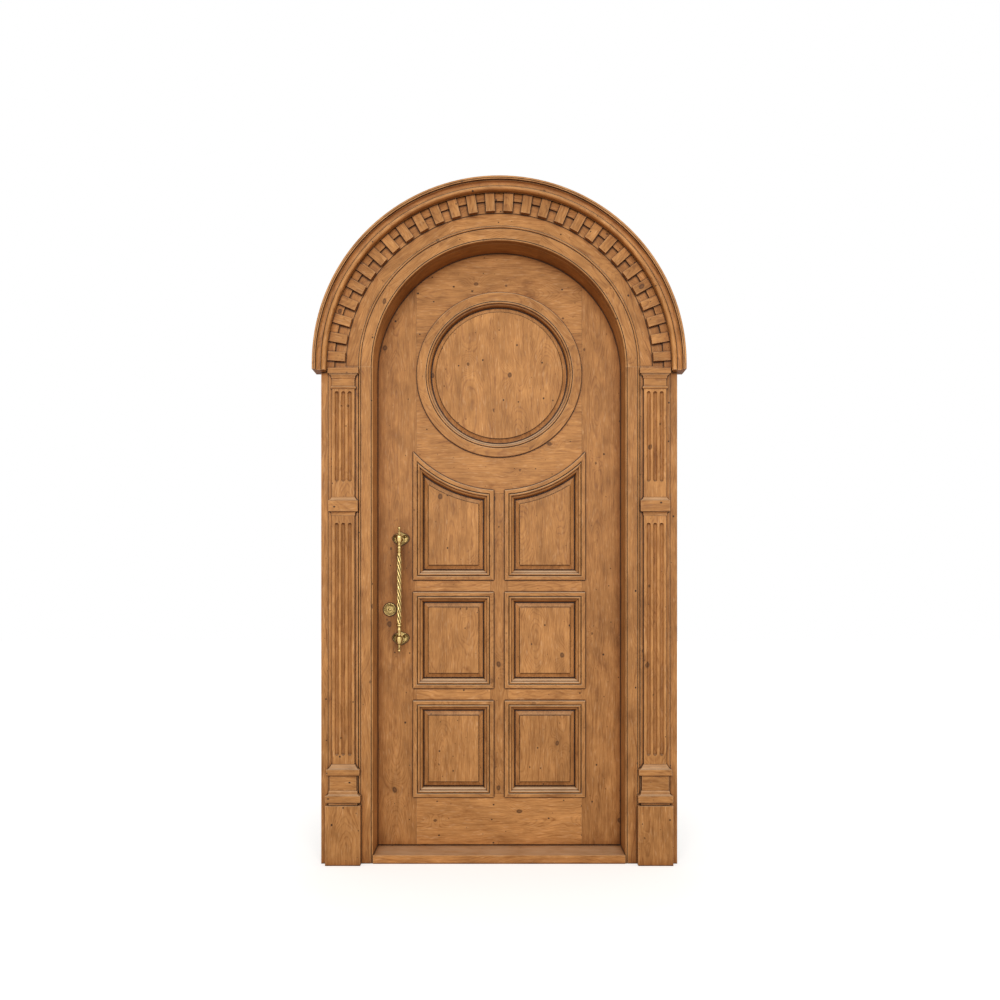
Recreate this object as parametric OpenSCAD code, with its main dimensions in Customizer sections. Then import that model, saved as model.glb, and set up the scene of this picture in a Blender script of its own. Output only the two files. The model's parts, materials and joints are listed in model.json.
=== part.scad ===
// Arched panelled entrance door with its pilastered frame, in millimetres
// X to the right, Y into the house, Z up; the origin is on the floor at the wall face,
// in the middle of the doorway

/* [Doorway] */
// Clear width between the jambs
open_w = 1000; // [940:5:1060]
// Height of the spring line of the arch above the floor
spring_h = 1968; // [1940:1:2040]
// Height of the sill
sill_h = 34; // [20:1:36]
// Projection of the sill's nosing from the casing
sill_nose = 3; // [1:0.5:8]
// Depth from the wall face to the outer face of the leaf
reveal = 92; // [70:1:110]

/* [Frame] */
// Thickness of the jambs beside the doorway
jamb_w = 45; // [40:1:60]
// Width of the rebate that the leaf closes against
rebate = 13; // [11:0.5:16]
// Width of the casing boards on the wall face
casing_w = 205; // [200:1:220]
// Thickness of the casing boards
casing_t = 28; // [24:1:34]
// Width of the round bead on the arris of the casing
arris_bead = 7; // [5:0.5:9]
// Distance from the doorway to the middle of the second bead
bead_in = 53; // [50:0.5:54]
// Radius of the second bead
bead_r = 4; // [3:0.25:4.5]
// Rise of the ground under the pilasters
ground_t = 4; // [4:0.5:6]
// Width of the ground under the pilasters
ground_w = 116; // [114:1:118]

/* [Arch ornament] */
// Distance from the outer edge of the casing to the dentil band
band_edge = 20; // [16:1:22]
// Number of dentils round the arch
dentil_n = 28; // [20:2:30]
// Width of a dentil
dentil_w = 36; // [28:1:40]
// Radial length of a dentil
dentil_len = 77; // [70:1:78]
// Projection of a dentil from its band
dentil_t = 18; // [14:1:20]
// Radial width of the fillet that runs behind the dentils
fillet_w = 34; // [24:1:40]
// Thickness of the band under the dentils
band_t = 3; // [2:0.5:4]
// Radial width of the cornice
cornice_w = 45; // [44:1:52]
// Projection of the cornice from the casing
cornice_p = 56; // [53:1:64]
// Overhang of the cornice's roll over the dentils
cornice_over = 7; // [4:0.5:7.5]
// Drop of the cornice ends below the spring line
cornice_drop = 23; // [12:1:30]

/* [Pilasters] */
// Distance from the doorway to the middle of the pilasters
pilaster_in = 115; // [113:1:116]
// Width of the fluted shafts
shaft_w = 88; // [84:1:90]
// Projection of the shafts from the casing
shaft_p = 14; // [13:0.5:22]
// Width of a flute
flute_w = 16; // [12:0.5:17]
// Spacing of the flutes
flute_pitch = 25.5; // [25:0.5:27]
// Height of the plinth blocks
plinth_h = 235; // [200:1:250]
// Height of the top of the bases
base_h = 396; // [392:1:410]
// Height of the middle of the waist blocks, in percent of the spring line's
waist_share = 71.95; // [70:0.05:73.5]
// Drop from the spring line to the top of the capitals
capital_drop = 10; // [6:1:11]

/* [Leaf] */
// Thickness of the leaf
leaf_t = 55; // [50:1:60]
// Gap round the leaf
leaf_gap = 3; // [2.5:0.25:3.5]
// Gap between the leaf and the sill
foot_gap = 4; // [3:0.5:8]
// Width of the stiles
stile_w = 170; // [166:1:174]
// Width of the muntin
muntin_w = 72; // [68:1:84]
// Height of the top of the bottom rail
bottom_rail_z = 246.5; // [230:0.5:260]
// Height of the lower panel openings, in percent of the three rows at the muntin
low_share = 34.25; // [32:0.05:34.6]
// Height of the cross rails
cross_rail_h = 77; // [74:1:80]
// Height of the middle panel openings, in percent of the three rows at the muntin
mid_share = 34.1; // [32:0.05:34.6]

/* [Roundel] */
// Distance from the edge of the leaf to the roundel ring
ring_in = 172; // [170:1:184]
// Distance from the circle of the leaf's edge to the concave line over the upper panels
belly_in = 36; // [30:1:46]
// Width of the roundel ring
ring_w = 56; // [54:0.5:60]
// Width of the bevel round the field of the round panel
round_bevel = 16; // [12:0.5:22]
// Half height of the boards beside the roundel
cheek_h = 162; // [150:1:170]

/* [Mouldings and panels] */
// Width of the mitred panel mouldings
mould_w = 40; // [37:0.5:43]
// Lap of the mouldings over the rails and stiles
mould_lap = 13.5; // [12:0.5:15]
// Projection of the mouldings from the leaf
mould_p = 9; // [7:0.5:11]
// Depth from the face of the leaf to the rim of the panels
panel_in = 17; // [15.5:0.5:18]
// Width of the bevel round the raised field
bevel_w = 22; // [16:0.5:24]
// Rise of the bevel
bevel_t = 10; // [6:0.5:11]
// Small step from the bevel to the field
field_t = 3; // [1.5:0.25:4]
// Thickness of the panel rims
panel_t = 18; // [16:0.5:20]

/* [Pull and key hole] */
// Distance of the pull from the edge of the leaf
pull_in = 106; // [100:1:114]
// Projection of the pull's axis from the leaf
pull_p = 58; // [50:1:66]
// Height of the lower post of the pull
pull_low = 882; // [862:1:886]
// Height of the upper post of the pull
pull_high = 1290; // [1284:1:1310]
// Diameter of the twisted grip
grip_d = 19; // [16:0.5:21]
// Length of one turn of the twist
grip_lead = 120; // [100:5:160]
// Distance of the key hole from the edge of the leaf
key_in = 61; // [59:1:64]
// Height of the key hole
key_z = 1004; // [1000:1:1010]
// Diameter of the key hole cover
cover_d = 52; // [50:0.5:54]

/* [Hinges and lock] */
// Height of the middle of the lowest hinge
hinge_low = 250; // [220:5:280]
// Drop from the spring line to the middle of the highest hinge
hinge_drop = 118; // [100:1:140]
// Height of one hinge
hinge_h = 100; // [90:5:120]
// Diameter of the hinge knuckles
knuckle_d = 16; // [14:0.5:17]
// Diameter of the hinge pins
pin_d = 8; // [6:0.5:8.5]
// Throw of the dead bolt
bolt_throw = 20; // [14:1:22]

/* [Hidden] */
$fn = 96;
eps = 0.01;
seat = 0.3;
hw = open_w / 2;
depth = reveal + leaf_t;
leaf_r = hw + rebate - leaf_gap;
leaf_z = sill_h + foot_gap;
stile_in = leaf_r - stile_w;
mun = muntin_w / 2;
ring_z = spring_h;
ring_r = leaf_r - ring_in;
belly_r = leaf_r - belly_in;
pull_x = leaf_r - pull_in;
key_x = leaf_r - key_in;
waist_h = spring_h * waist_share / 100;
hole_r = ring_r - mould_lap;
belly_open_r = belly_r + mould_lap;
low_z = bottom_rail_z;
rows_h = ring_z - belly_open_r - low_z - 2 * cross_rail_h;
low_open_h = rows_h * low_share / 100;
mid_open_h = rows_h * mid_share / 100;
mid_z = low_z + low_open_h + cross_rail_h;
up_z = mid_z + mid_open_h + cross_rail_h;
casing_r = hw + casing_w;
ground_x = hw + bead_in + bead_r + 1.5;
ground_p = casing_t + ground_t;
pil_x = hw + pilaster_in;
shaft_front = casing_t + shaft_p;
front_ratio = 0.55;
cap_top = spring_h - capital_drop;
cap_bottom = cap_top - 81;
band_out = casing_r - band_edge;
band_in = band_out - dentil_len;
fillet_in = band_out - fillet_w;
pin_x = leaf_r + leaf_gap / 2;
pin_y = depth + knuckle_d / 2 + 0.5;
plate_t = 2.5;
hinge_z = [for (k = [0:3]) hinge_low + k * (spring_h - hinge_drop - hinge_low) / 3];
knuckle_n = 5;
pull_y = reveal - pull_p;
rod_top = pull_high - 65;
rod_low = pull_low + 67;
lock_y = reveal + leaf_t / 2;
bolt_z = key_z + 36;
roller_z = key_z + 108;
lock_mid = key_z + 46;

function arc(cx, cy, r, a0, a1, n = 6) =
    [for (i = [0:n]) [cx + r * cos(a0 + (a1 - a0) * i / n), cy + r * sin(a0 + (a1 - a0) * i / n)]];
function oval(cx, cy, rx, ry, a0, a1, n = 6) =
    [for (i = [0:n]) [cx + rx * cos(a0 + (a1 - a0) * i / n), cy + ry * sin(a0 + (a1 - a0) * i / n)]];
function chord(r, x) = ring_z - sqrt(r * r - x * x);

// Profiles are drawn as distance from the middle of the door and projection from the wall face
module upright(z0, z1) {
    translate([0, 0, z0])
        mirror([0, 1, 0])
            linear_extrude(z1 - z0)
                children();
}

module arched() {
    translate([0, 0, spring_h])
        rotate([90, 0, 0])
            rotate_extrude(angle = 180)
                children();
}

module left() {
    mirror([1, 0, 0])
        children();
}

// A full turn about the middle of the roundel, drawn as radius and projection from the face of the leaf
module roundel_turn() {
    translate([0, reveal, ring_z])
        rotate([90, 0, 0])
            rotate_extrude()
                children();
}

// Jambs, head and sill
module jamb_profile() {
    polygon([[hw, 0], [hw + jamb_w, 0], [hw + jamb_w, -depth], [hw + rebate, -depth],
        [hw + rebate, -reveal], [hw, -reveal]]);
}

module right_jamb() {
    color("#8a5a2b")
        difference() {
            upright(0, spring_h)
                jamb_profile();
            for (z = hinge_z)
                translate([hw + rebate - eps, depth - 34, z - hinge_h / 2])
                    cube([plate_t + eps, 40, hinge_h]);
        }
}

module left_jamb() {
    color("#8a5a2b")
        difference() {
            left()
                upright(0, spring_h)
                    jamb_profile();
            translate([-hw - rebate - plate_t, lock_y - 11, lock_mid - 115])
                cube([plate_t + eps, 22, 230]);
            translate([-hw - rebate - bolt_throw - 6, lock_y - 8, bolt_z - 14])
                cube([bolt_throw + 7, 16, 28]);
        }
}

module arch_head() {
    color("#8a5a2b")
        arched()
            jamb_profile();
}

module sill() {
    color("#9b6b38")
        union() {
            translate([-hw, 0, 0])
                cube([open_w, depth, sill_h]);
            translate([-hw + seat, -casing_t - sill_nose, 0])
                cube([open_w - 2 * seat, casing_t + sill_nose + 1, sill_h]);
            translate([-hw - rebate, reveal, 0])
                cube([open_w + 2 * rebate, leaf_t, sill_h]);
        }
}

// Casing: a round bead on the arris, a flat, a second bead between quirks, and the ground of the pilasters
module arris_profile(w) {
    difference() {
        translate([hw, 0])
            square([w, casing_t]);
        translate([hw - 1, casing_t - arris_bead / 2])
            square([arris_bead + 2.5, arris_bead]);
        translate([hw + bead_in - bead_r - 1.5, casing_t - 2])
            square([2 * bead_r + 3, 4]);
    }
    translate([hw + arris_bead / 2, casing_t - arris_bead / 2])
        circle(r = arris_bead / 2);
    translate([hw + bead_in, casing_t - 0.5])
        circle(r = bead_r);
}

module casing_profile() {
    arris_profile(casing_w);
    translate([ground_x, casing_t - 1])
        square([ground_w, ground_t + 1]);
}

module right_casing() {
    color("#b5834f")
        upright(0, spring_h)
            casing_profile();
}

module left_casing() {
    color("#b5834f")
        left()
            right_casing();
}

module arch_fascia() {
    color("#b5834f")
        arched()
            arris_profile(casing_w);
}

// Arch ornament: band with fillet, dentils, cornice
module band_profile() {
    polygon([[band_in, casing_t], [band_out, casing_t], [band_out, casing_t + band_t + 9],
        [fillet_in, casing_t + band_t + 9], [fillet_in, casing_t + band_t], [band_in, casing_t + band_t]]);
}

module dentil_band() {
    color("#a9783f")
        union() {
            arched()
                band_profile();
            for (side = [0, 1])
                mirror([side, 0, 0])
                    upright(cap_top, spring_h)
                        difference() {
                            band_profile();
                            translate([band_in - 1, casing_t - 1])
                                square([ground_x + ground_w - band_in + 1 + seat, ground_t + 1]);
                        }
        }
}

module dentils() {
    pitch = 180 / dentil_n;
    color("#b98a55")
        for (k = [0:dentil_n - 1])
            translate([0, 0, spring_h])
                rotate([0, -(k + 0.5) * pitch, 0])
                    difference() {
                        translate([band_in, -casing_t - band_t - dentil_t, -dentil_w / 2])
                            cube([dentil_len - 0.6, dentil_t, dentil_w]);
                        translate([fillet_in - 0.6, -casing_t - band_t - 9, -dentil_w])
                            cube([dentil_len, 10, 2 * dentil_w]);
                    }
}

module cornice_profile() {
    p = casing_t + cornice_p;
    over = casing_t + band_t + dentil_t + 3;
    r0 = band_out + seat;
    r1 = band_out + cornice_w;
    ri = r0 - cornice_over;
    cove = ri + 25;
    polygon(concat(
        [[r0, casing_t], [casing_r + seat, casing_t], [casing_r + seat, 0], [r1, 0]],
        arc(r1 - 3, p - 3, 3, 0, 90, 4),
        [[r1 - 7, p], [r1 - 7, p - 2], [r1 - 12, p - 2], [r1 - 12, p - 12], [r1 - 14, p - 12]],
        oval(cove, p - 10, r1 - 14 - cove, p - 22 - over, 0, -90, 6),
        [[cove - 4, over + 12], [cove - 4, over + 8], [ri + 19, over + 8]],
        arc(ri + 9.5, over + 12, 9.5, 0, 180, 10),
        [[ri, over], [r0, over]]));
}

module arch_cornice() {
    color("#b5834f")
        union() {
            arched()
                cornice_profile();
            for (side = [0, 1])
                mirror([side, 0, 0])
                    upright(spring_h - cornice_drop, spring_h)
                        cornice_profile();
        }
}

// Pilasters: moulded blocks have the same profile on the front and on both sides
module moulded_block(pts) {
    grow = 30;
    intersection() {
        translate([pil_x, -ground_p, 0])
            rotate([90, 0, 0])
                linear_extrude(shaft_front - ground_p + grow)
                    polygon(concat([for (q = pts) [shaft_w / 2 + q[0], q[1]]],
                        [for (i = [len(pts) - 1:-1:0]) [-shaft_w / 2 - pts[i][0], pts[i][1]]]));
        translate([pil_x - shaft_w / 2 - grow, 0, 0])
            rotate([90, 0, 90])
                linear_extrude(shaft_w + 2 * grow)
                    polygon(concat([for (q = pts) [-shaft_front - front_ratio * q[0], q[1]]],
                        [[-ground_p, pts[len(pts) - 1][1]], [-ground_p, pts[0][1]]]));
    }
}

module capital() {
    t = cap_top;
    color("#b98a55")
        moulded_block(concat(
            [[15, t], [16, t - 1], [16, t - 20], [15, t - 21], [11, t - 21], [11, t - 25]],
            arc(10.5, t - 32, 7, 90, 180, 5),
            [[2.5, t - 32], [2.5, t - 38], [0, t - 40], [0, t - 70]],
            arc(0, t - 75.5, 5.5, 90, -90, 6)));
}

module right_capital() {
    capital();
}

module left_capital() {
    left()
        capital();
}

module waist_block() {
    m = waist_h;
    color("#b98a55")
        moulded_block(concat(
            [[0, m + 34], [2, m + 34], [2, m + 31], [10, m + 23], [10, m + 21], [13, m + 21]],
            [[13.5, m + 20.5]],
            [[13.5, m - 21.5], [13, m - 22], [10, m - 22]],
            arc(10, m - 31, 8, 90, 180, 5),
            [[2, m - 38], [0, m - 38]]));
}

module right_waist_block() {
    waist_block();
}

module left_waist_block() {
    left()
        waist_block();
}

module base() {
    b = base_h;
    c = plinth_h;
    color("#b98a55")
        moulded_block(concat(
            [[0, b], [2, b], [5, b - 6]],
            arc(21, b - 5, 14, 195, 270, 4),
            [[21, b - 19], [21, b - 40], [19, b - 42], [8.5, b - 45]],
            [[8.5, c + 59], [10, c + 59], [13, c + 52]],
            arc(24.5, c + 52, 13, 190, 270, 4),
            [[24.5, c + 38], [24.5, c + 16], [22, c + 12], [12, c + 12], [12, c]]));
}

module right_base() {
    base();
}

module left_base() {
    left()
        base();
}

module plinth() {
    c = plinth_h;
    color("#b5834f")
        moulded_block([[24, c], [25, c - 1], [25, 0]]);
}

module right_plinth() {
    plinth();
}

module left_plinth() {
    left()
        plinth();
}

// A fluted shaft between two heights, with the flutes ending short of both ends
module shaft(z0, z1, f0, f1) {
    set = flute_w / 12;
    r = norm([flute_w / 2, set]);
    color("#b5834f")
        difference() {
            translate([pil_x - shaft_w / 2, -shaft_front, z0])
                cube([shaft_w, shaft_front - ground_p, z1 - z0]);
            for (k = [-1:1])
                translate([pil_x + k * flute_pitch, -shaft_front - set, 0])
                    rotate([0, 0, -90])
                        union() {
                            translate([0, 0, f0 + r])
                                cylinder(r = r, h = f1 - f0 - 2 * r, $fn = 48);
                            translate([0, 0, f0 + r])
                                sphere(r = r, $fn = 48);
                            translate([0, 0, f1 - r])
                                sphere(r = r, $fn = 48);
                        }
        }
}

module upper_shaft() {
    shaft(waist_h + 34, cap_bottom, waist_h + 95, cap_bottom - 9);
}

module lower_shaft() {
    shaft(base_h, waist_h - 38, base_h + 34, waist_h - 67);
}

module right_upper_shaft() {
    upper_shaft();
}

module left_upper_shaft() {
    left()
        upper_shaft();
}

module right_lower_shaft() {
    lower_shaft();
}

module left_lower_shaft() {
    left()
        lower_shaft();
}

// Leaf: boards cut from one arched slab
module slab(x0, x1, z0, z1) {
    translate([x0, reveal, z0])
        cube([x1 - x0, leaf_t, z1 - z0]);
}

module disc(r) {
    translate([0, reveal - 1, ring_z])
        rotate([-90, 0, 0])
            cylinder(r = r, h = leaf_t + 2);
}

module stile() {
    union() {
        slab(stile_in, leaf_r, leaf_z, spring_h);
        intersection() {
            slab(stile_in, leaf_r, spring_h, spring_h + leaf_r);
            disc(leaf_r);
        }
    }
}

module hinge_stile() {
    color("#b5834f")
        difference() {
            stile();
            for (z = hinge_z)
                translate([leaf_r - plate_t, depth - 34, z - hinge_h / 2])
                    cube([plate_t + 1, 40, hinge_h]);
        }
}

module cylinder_shape(grow) {
    rotate([-90, 0, 0])
        linear_extrude(leaf_t + 20)
            union() {
                circle(r = 8.5 + grow, $fn = 48);
                translate([-5 - grow, 0])
                    square([10 + 2 * grow, 20]);
                translate([0, 20])
                    circle(r = 5 + grow, $fn = 32);
            }
}

module lock_stile() {
    color("#b5834f")
        difference() {
            left()
                stile();
            translate([-leaf_r - 1, lock_y - 11, lock_mid - 115])
                cube([4, 22, 230]);
            translate([-leaf_r - 1, lock_y - 8, lock_mid - 90])
                cube([86, 16, 180]);
            translate([-key_x, reveal - 10, key_z])
                cylinder_shape(seat);
        }
}

module crown_rail() {
    color("#b5834f")
        difference() {
            intersection() {
                slab(-stile_in, stile_in, ring_z + cheek_h + 9, spring_h + leaf_r);
                disc(leaf_r);
            }
            disc(hole_r);
        }
}

module roundel_boards() {
    color("#b5834f")
        difference() {
            slab(-stile_in, stile_in, ring_z - cheek_h + 10, ring_z + cheek_h + 9);
            disc(hole_r);
        }
}

module belly_rail() {
    color("#b5834f")
        difference() {
            intersection() {
                slab(-stile_in, stile_in, ring_z - belly_open_r - 5, ring_z - cheek_h + 10);
                disc(belly_open_r);
            }
            disc(hole_r);
        }
}

module muntin() {
    color("#b5834f")
        difference() {
            slab(-mun, mun, low_z, ring_z - belly_open_r + 20);
            disc(belly_open_r + seat);
        }
}

module cross_rails() {
    color("#b5834f")
        for (z = [low_z + low_open_h, mid_z + mid_open_h]) {
            slab(mun, stile_in, z, z + cross_rail_h);
            slab(-stile_in, -mun, z, z + cross_rail_h);
        }
}

module bottom_rail() {
    color("#b5834f")
        slab(-stile_in, stile_in, leaf_z, low_z);
}

// Raised panels, drawn in the right half of the leaf
module across(x0, x1, pts) {
    translate([x0, reveal, 0])
        rotate([90, 0, 90])
            linear_extrude(x1 - x0)
                polygon([for (q = pts) [-q[1], q[0]]]);
}

module along(z0, z1, pts) {
    translate([0, reveal, z0])
        linear_extrude(z1 - z0)
            polygon([for (q = pts) [q[0], -q[1]]]);
}

module panel(z0, z1, arc_top) {
    d = mould_w - mould_lap + 0.5;
    x0 = mun;
    x1 = stile_in;
    top = arc_top ? z1 + 400 : z1;
    low = -panel_in;
    mid = low + bevel_t;
    color("#b98a55")
        difference() {
            union() {
                translate([x0 + seat, reveal + panel_in, z0 + seat])
                    cube([x1 - x0 - 2 * seat, panel_t, z1 - z0 - 2 * seat]);
                intersection() {
                    along(z0, z1, [[x0 + d, low - 1], [x0 + d, low], [x0 + d + bevel_w, mid],
                        [x1 - d - bevel_w, mid], [x1 - d, low], [x1 - d, low - 1]]);
                    across(x0, x1, [[z0 + d, low - 1], [z0 + d, low], [z0 + d + bevel_w, mid],
                        [top - d - bevel_w, mid], [top - d, low], [top - d, low - 1]]);
                    if (arc_top)
                        roundel_turn()
                            polygon([[belly_open_r + d, low - 1], [belly_open_r + d, low],
                                [belly_open_r + d + bevel_w, mid], [spring_h, mid], [spring_h, low - 1]]);
                }
                difference() {
                    translate([x0 + d + bevel_w, reveal - mid - field_t, z0 + d + bevel_w])
                        cube([x1 - x0 - 2 * (d + bevel_w), field_t + 1,
                            z1 - z0 - (arc_top ? 1 : 2) * (d + bevel_w)]);
                    if (arc_top)
                        disc(belly_open_r + d + bevel_w);
                }
            }
            if (arc_top)
                disc(belly_open_r + seat);
        }
}

up_top = chord(belly_open_r, stile_in);

module upper_right_panel() {
    panel(up_z, up_top, true);
}

module upper_left_panel() {
    left()
        upper_right_panel();
}

module middle_right_panel() {
    panel(mid_z, mid_z + mid_open_h, false);
}

module middle_left_panel() {
    left()
        middle_right_panel();
}

module lower_right_panel() {
    panel(low_z, low_z + low_open_h, false);
}

module lower_left_panel() {
    left()
        lower_right_panel();
}

module round_panel() {
    r = ring_r - ring_w;
    face = -panel_in + bevel_t + field_t;
    color("#b98a55")
        roundel_turn()
            polygon([[0, -panel_in - panel_t], [hole_r - seat, -panel_in - panel_t],
                [hole_r - seat, -panel_in], [r, -panel_in], [r - round_bevel, -panel_in + bevel_t],
                [r - round_bevel, face], [0, face]]);
}

// Bolection moulding: a broad band on the leaf, a quirk, a bead, a quirk and an ovolo down to the panel
// Each profile is distance from the moulding's outline and projection from the leaf; "rise" is what
// the four sides have in common, "fall" the hollow they have in common, so the sides meet in true mitres
reach = spring_h;
band = mould_lap + 3;
crest = band + 6.3;
bead_rise = concat([[0, 0]], arc(3, mould_p - 3, 3, 180, 90, 4), [[reach, mould_p], [reach, 0]]);
bead_fall = concat([[band - 3, mould_p + 1]], arc(band - 3, mould_p - 3, 3, 90, 0, 4),
    [[band, mould_p - 6], [band + 1, mould_p - 6], [band + 1, -1], [reach, -1], [reach, mould_p + 1]]);
ovolo_rise = concat([[mould_lap + seat, -panel_in], [mould_lap + seat, mould_p - 6]],
    [[band + 0.5, mould_p - 6]],
    arc(crest, mould_p - 6, 5.5, 180, 90, 5),
    [[reach, mould_p - 0.5], [reach, -panel_in]]);
ovolo_fall = concat([[crest, mould_p + 1]],
    arc(crest, mould_p - 6, 5.5, 90, 0, 5),
    [[crest + 5.5, mould_p - 8.5]],
    oval(crest + 6.7, 4 - panel_in, mould_w - crest - 6.7, mould_p + panel_in - 12.5, 90, 0, 6),
    [[mould_w, -panel_in], [mould_w, -panel_in - 1], [reach, -panel_in - 1], [reach, mould_p + 1]]);

module four_sides(pts, x0, x1, b, t, arc_top) {
    low = b - 1;
    high = arc_top ? spring_h : t + 1;
    intersection() {
        along(low, high, [for (q = pts) [x0 + q[0], q[1]]]);
        along(low, high, [for (q = pts) [x1 - q[0], q[1]]]);
        across(x0 - 1, x1 + 1, [for (q = pts) [b + q[0], q[1]]]);
        if (arc_top)
            roundel_turn()
                polygon([for (q = pts) [belly_r + q[0], q[1]]]);
        else
            across(x0 - 1, x1 + 1, [for (q = pts) [t - q[0], q[1]]]);
    }
}

module moulding(z0, z1, arc_top) {
    x0 = mun - mould_lap;
    x1 = stile_in + mould_lap;
    b = z0 - mould_lap;
    t = z1 + mould_lap;
    color("#a9783f")
        union() {
            difference() {
                four_sides(bead_rise, x0, x1, b, t, arc_top);
                four_sides(bead_fall, x0, x1, b, t, arc_top);
            }
            difference() {
                four_sides(ovolo_rise, x0, x1, b, t, arc_top);
                four_sides(ovolo_fall, x0, x1, b, t, arc_top);
            }
        }
}

module upper_right_moulding() {
    moulding(up_z, up_top, true);
}

module upper_left_moulding() {
    left()
        upper_right_moulding();
}

module middle_right_moulding() {
    moulding(mid_z, mid_z + mid_open_h, false);
}

module middle_left_moulding() {
    left()
        middle_right_moulding();
}

module lower_right_moulding() {
    moulding(low_z, low_z + low_open_h, false);
}

module lower_left_moulding() {
    left()
        lower_right_moulding();
}

// Roundel ring: a broad flat band, a quirk, a bead and an ovolo down to the round panel
module roundel_ring() {
    r = ring_r;
    color("#a9783f")
        roundel_turn()
            polygon(concat(
                [[r, 0]],
                arc(r - 3, mould_p - 3, 3, 0, 90, 4),
                [[r - 36, mould_p], [r - 36, mould_p - 3]],
                arc(r - 42, mould_p - 3, 4, 0, 180, 8),
                [[r - 46, mould_p - 7]],
                oval(r - 47.5, 4 - panel_in, ring_w - 47.5, mould_p + panel_in - 11, 90, 180, 6),
                [[r - ring_w, -panel_in], [hole_r - seat, -panel_in], [hole_r - seat, 0]]));
}

// Beads that hold the panels on the inner face
module inner_bead(z0, z1, arc_top) {
    a = panel_in + panel_t;
    e = leaf_t - 3;
    x0 = mun;
    x1 = stile_in;
    top = arc_top ? z1 + 400 : z1;
    difference() {
        translate([x0 + seat, reveal + a, z0 + seat])
            cube([x1 - x0 - 2 * seat, e - a, z1 - z0 - 2 * seat]);
        intersection() {
            along(z0, z1, [[x0 + 22, -a + 1], [x0 + 22, -a - 5], [x0 + 10, -e - 1],
                [x1 - 10, -e - 1], [x1 - 22, -a - 5], [x1 - 22, -a + 1]]);
            across(x0, x1, [[z0 + 22, -a + 1], [z0 + 22, -a - 5], [z0 + 10, -e - 1],
                [top - 10, -e - 1], [top - 22, -a - 5], [top - 22, -a + 1]]);
            if (arc_top)
                roundel_turn()
                    polygon([[belly_open_r + 22, -a + 1], [belly_open_r + 22, -a - 5],
                        [belly_open_r + 10, -e - 1], [spring_h, -e - 1], [spring_h, -a + 1]]);
        }
        if (arc_top)
            disc(belly_open_r + seat);
    }
}

module inner_beads() {
    a = panel_in + panel_t;
    e = leaf_t - 3;
    color("#a9783f") {
        for (side = [0, 1])
            mirror([side, 0, 0]) {
                inner_bead(low_z, low_z + low_open_h, false);
                inner_bead(mid_z, mid_z + mid_open_h, false);
                inner_bead(up_z, up_top, true);
            }
        roundel_turn()
            polygon([[hole_r - seat, -a], [hole_r - 22, -a], [hole_r - 22, -a - 5], [hole_r - 10, -e],
                [hole_r - seat, -e]]);
    }
}

// Butt hinges: knuckles alternate between frame and leaf on one pin
module knuckles(first) {
    h = hinge_h / knuckle_n;
    for (k = [first:2:knuckle_n - 1])
        translate([pin_x, pin_y, -hinge_h / 2 + k * h + 0.15])
            cylinder(r = knuckle_d / 2, h = h - 0.3, $fn = 48);
}

module knuckle_tabs(first, x0) {
    h = hinge_h / knuckle_n;
    for (k = [first:2:knuckle_n - 1])
        translate([x0, depth - 2, -hinge_h / 2 + k * h + 0.15])
            cube([plate_t, pin_y - depth + 2, h - 0.3]);
}

module hinge_plate(first, x0) {
    difference() {
        union() {
            translate([x0, depth - 34, -hinge_h / 2])
                cube([plate_t, 34, hinge_h]);
            knuckle_tabs(first, x0);
            knuckles(first);
        }
        translate([pin_x, pin_y, -hinge_h])
            cylinder(r = pin_d / 2 + 0.05, h = 2 * hinge_h, $fn = 48);
    }
}

module hinge_frame_plates() {
    color("#a8894a")
        for (z = hinge_z)
            translate([0, 0, z])
                hinge_plate(0, hw + rebate);
}

module hinge_leaf_plates() {
    color("#a8894a")
        for (z = hinge_z)
            translate([0, 0, z])
                hinge_plate(1, leaf_r - plate_t);
}

module hinge_pins() {
    color("#a8894a")
        for (z = hinge_z)
            translate([pin_x, pin_y, z])
                union() {
                    translate([0, 0, -hinge_h / 2])
                        cylinder(r = pin_d / 2, h = hinge_h, $fn = 48);
                    for (s = [0, 1])
                        mirror([0, 0, s])
                            translate([0, 0, hinge_h / 2])
                                rotate_extrude($fn = 48)
                                    polygon(concat([[0, 0], [knuckle_d / 2 - 1, 0]],
                                        [[knuckle_d / 2 - 1, 2], [4, 3]],
                                        arc(0, 7, 4.5, -40, 90, 6)));
                }
}

// Pull: a twisted grip between turned finials, on two posts
module finial(pts) {
    rotate_extrude($fn = 64)
        polygon(concat([[0, pts[0][1]]], pts, [[0, pts[len(pts) - 1][1]]]));
}

function bulge(z, r, h, base) = [for (i = [0:6]) [base + (r - base) * sin(i * 30), z - h / 2 + h * i / 6]];

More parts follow.
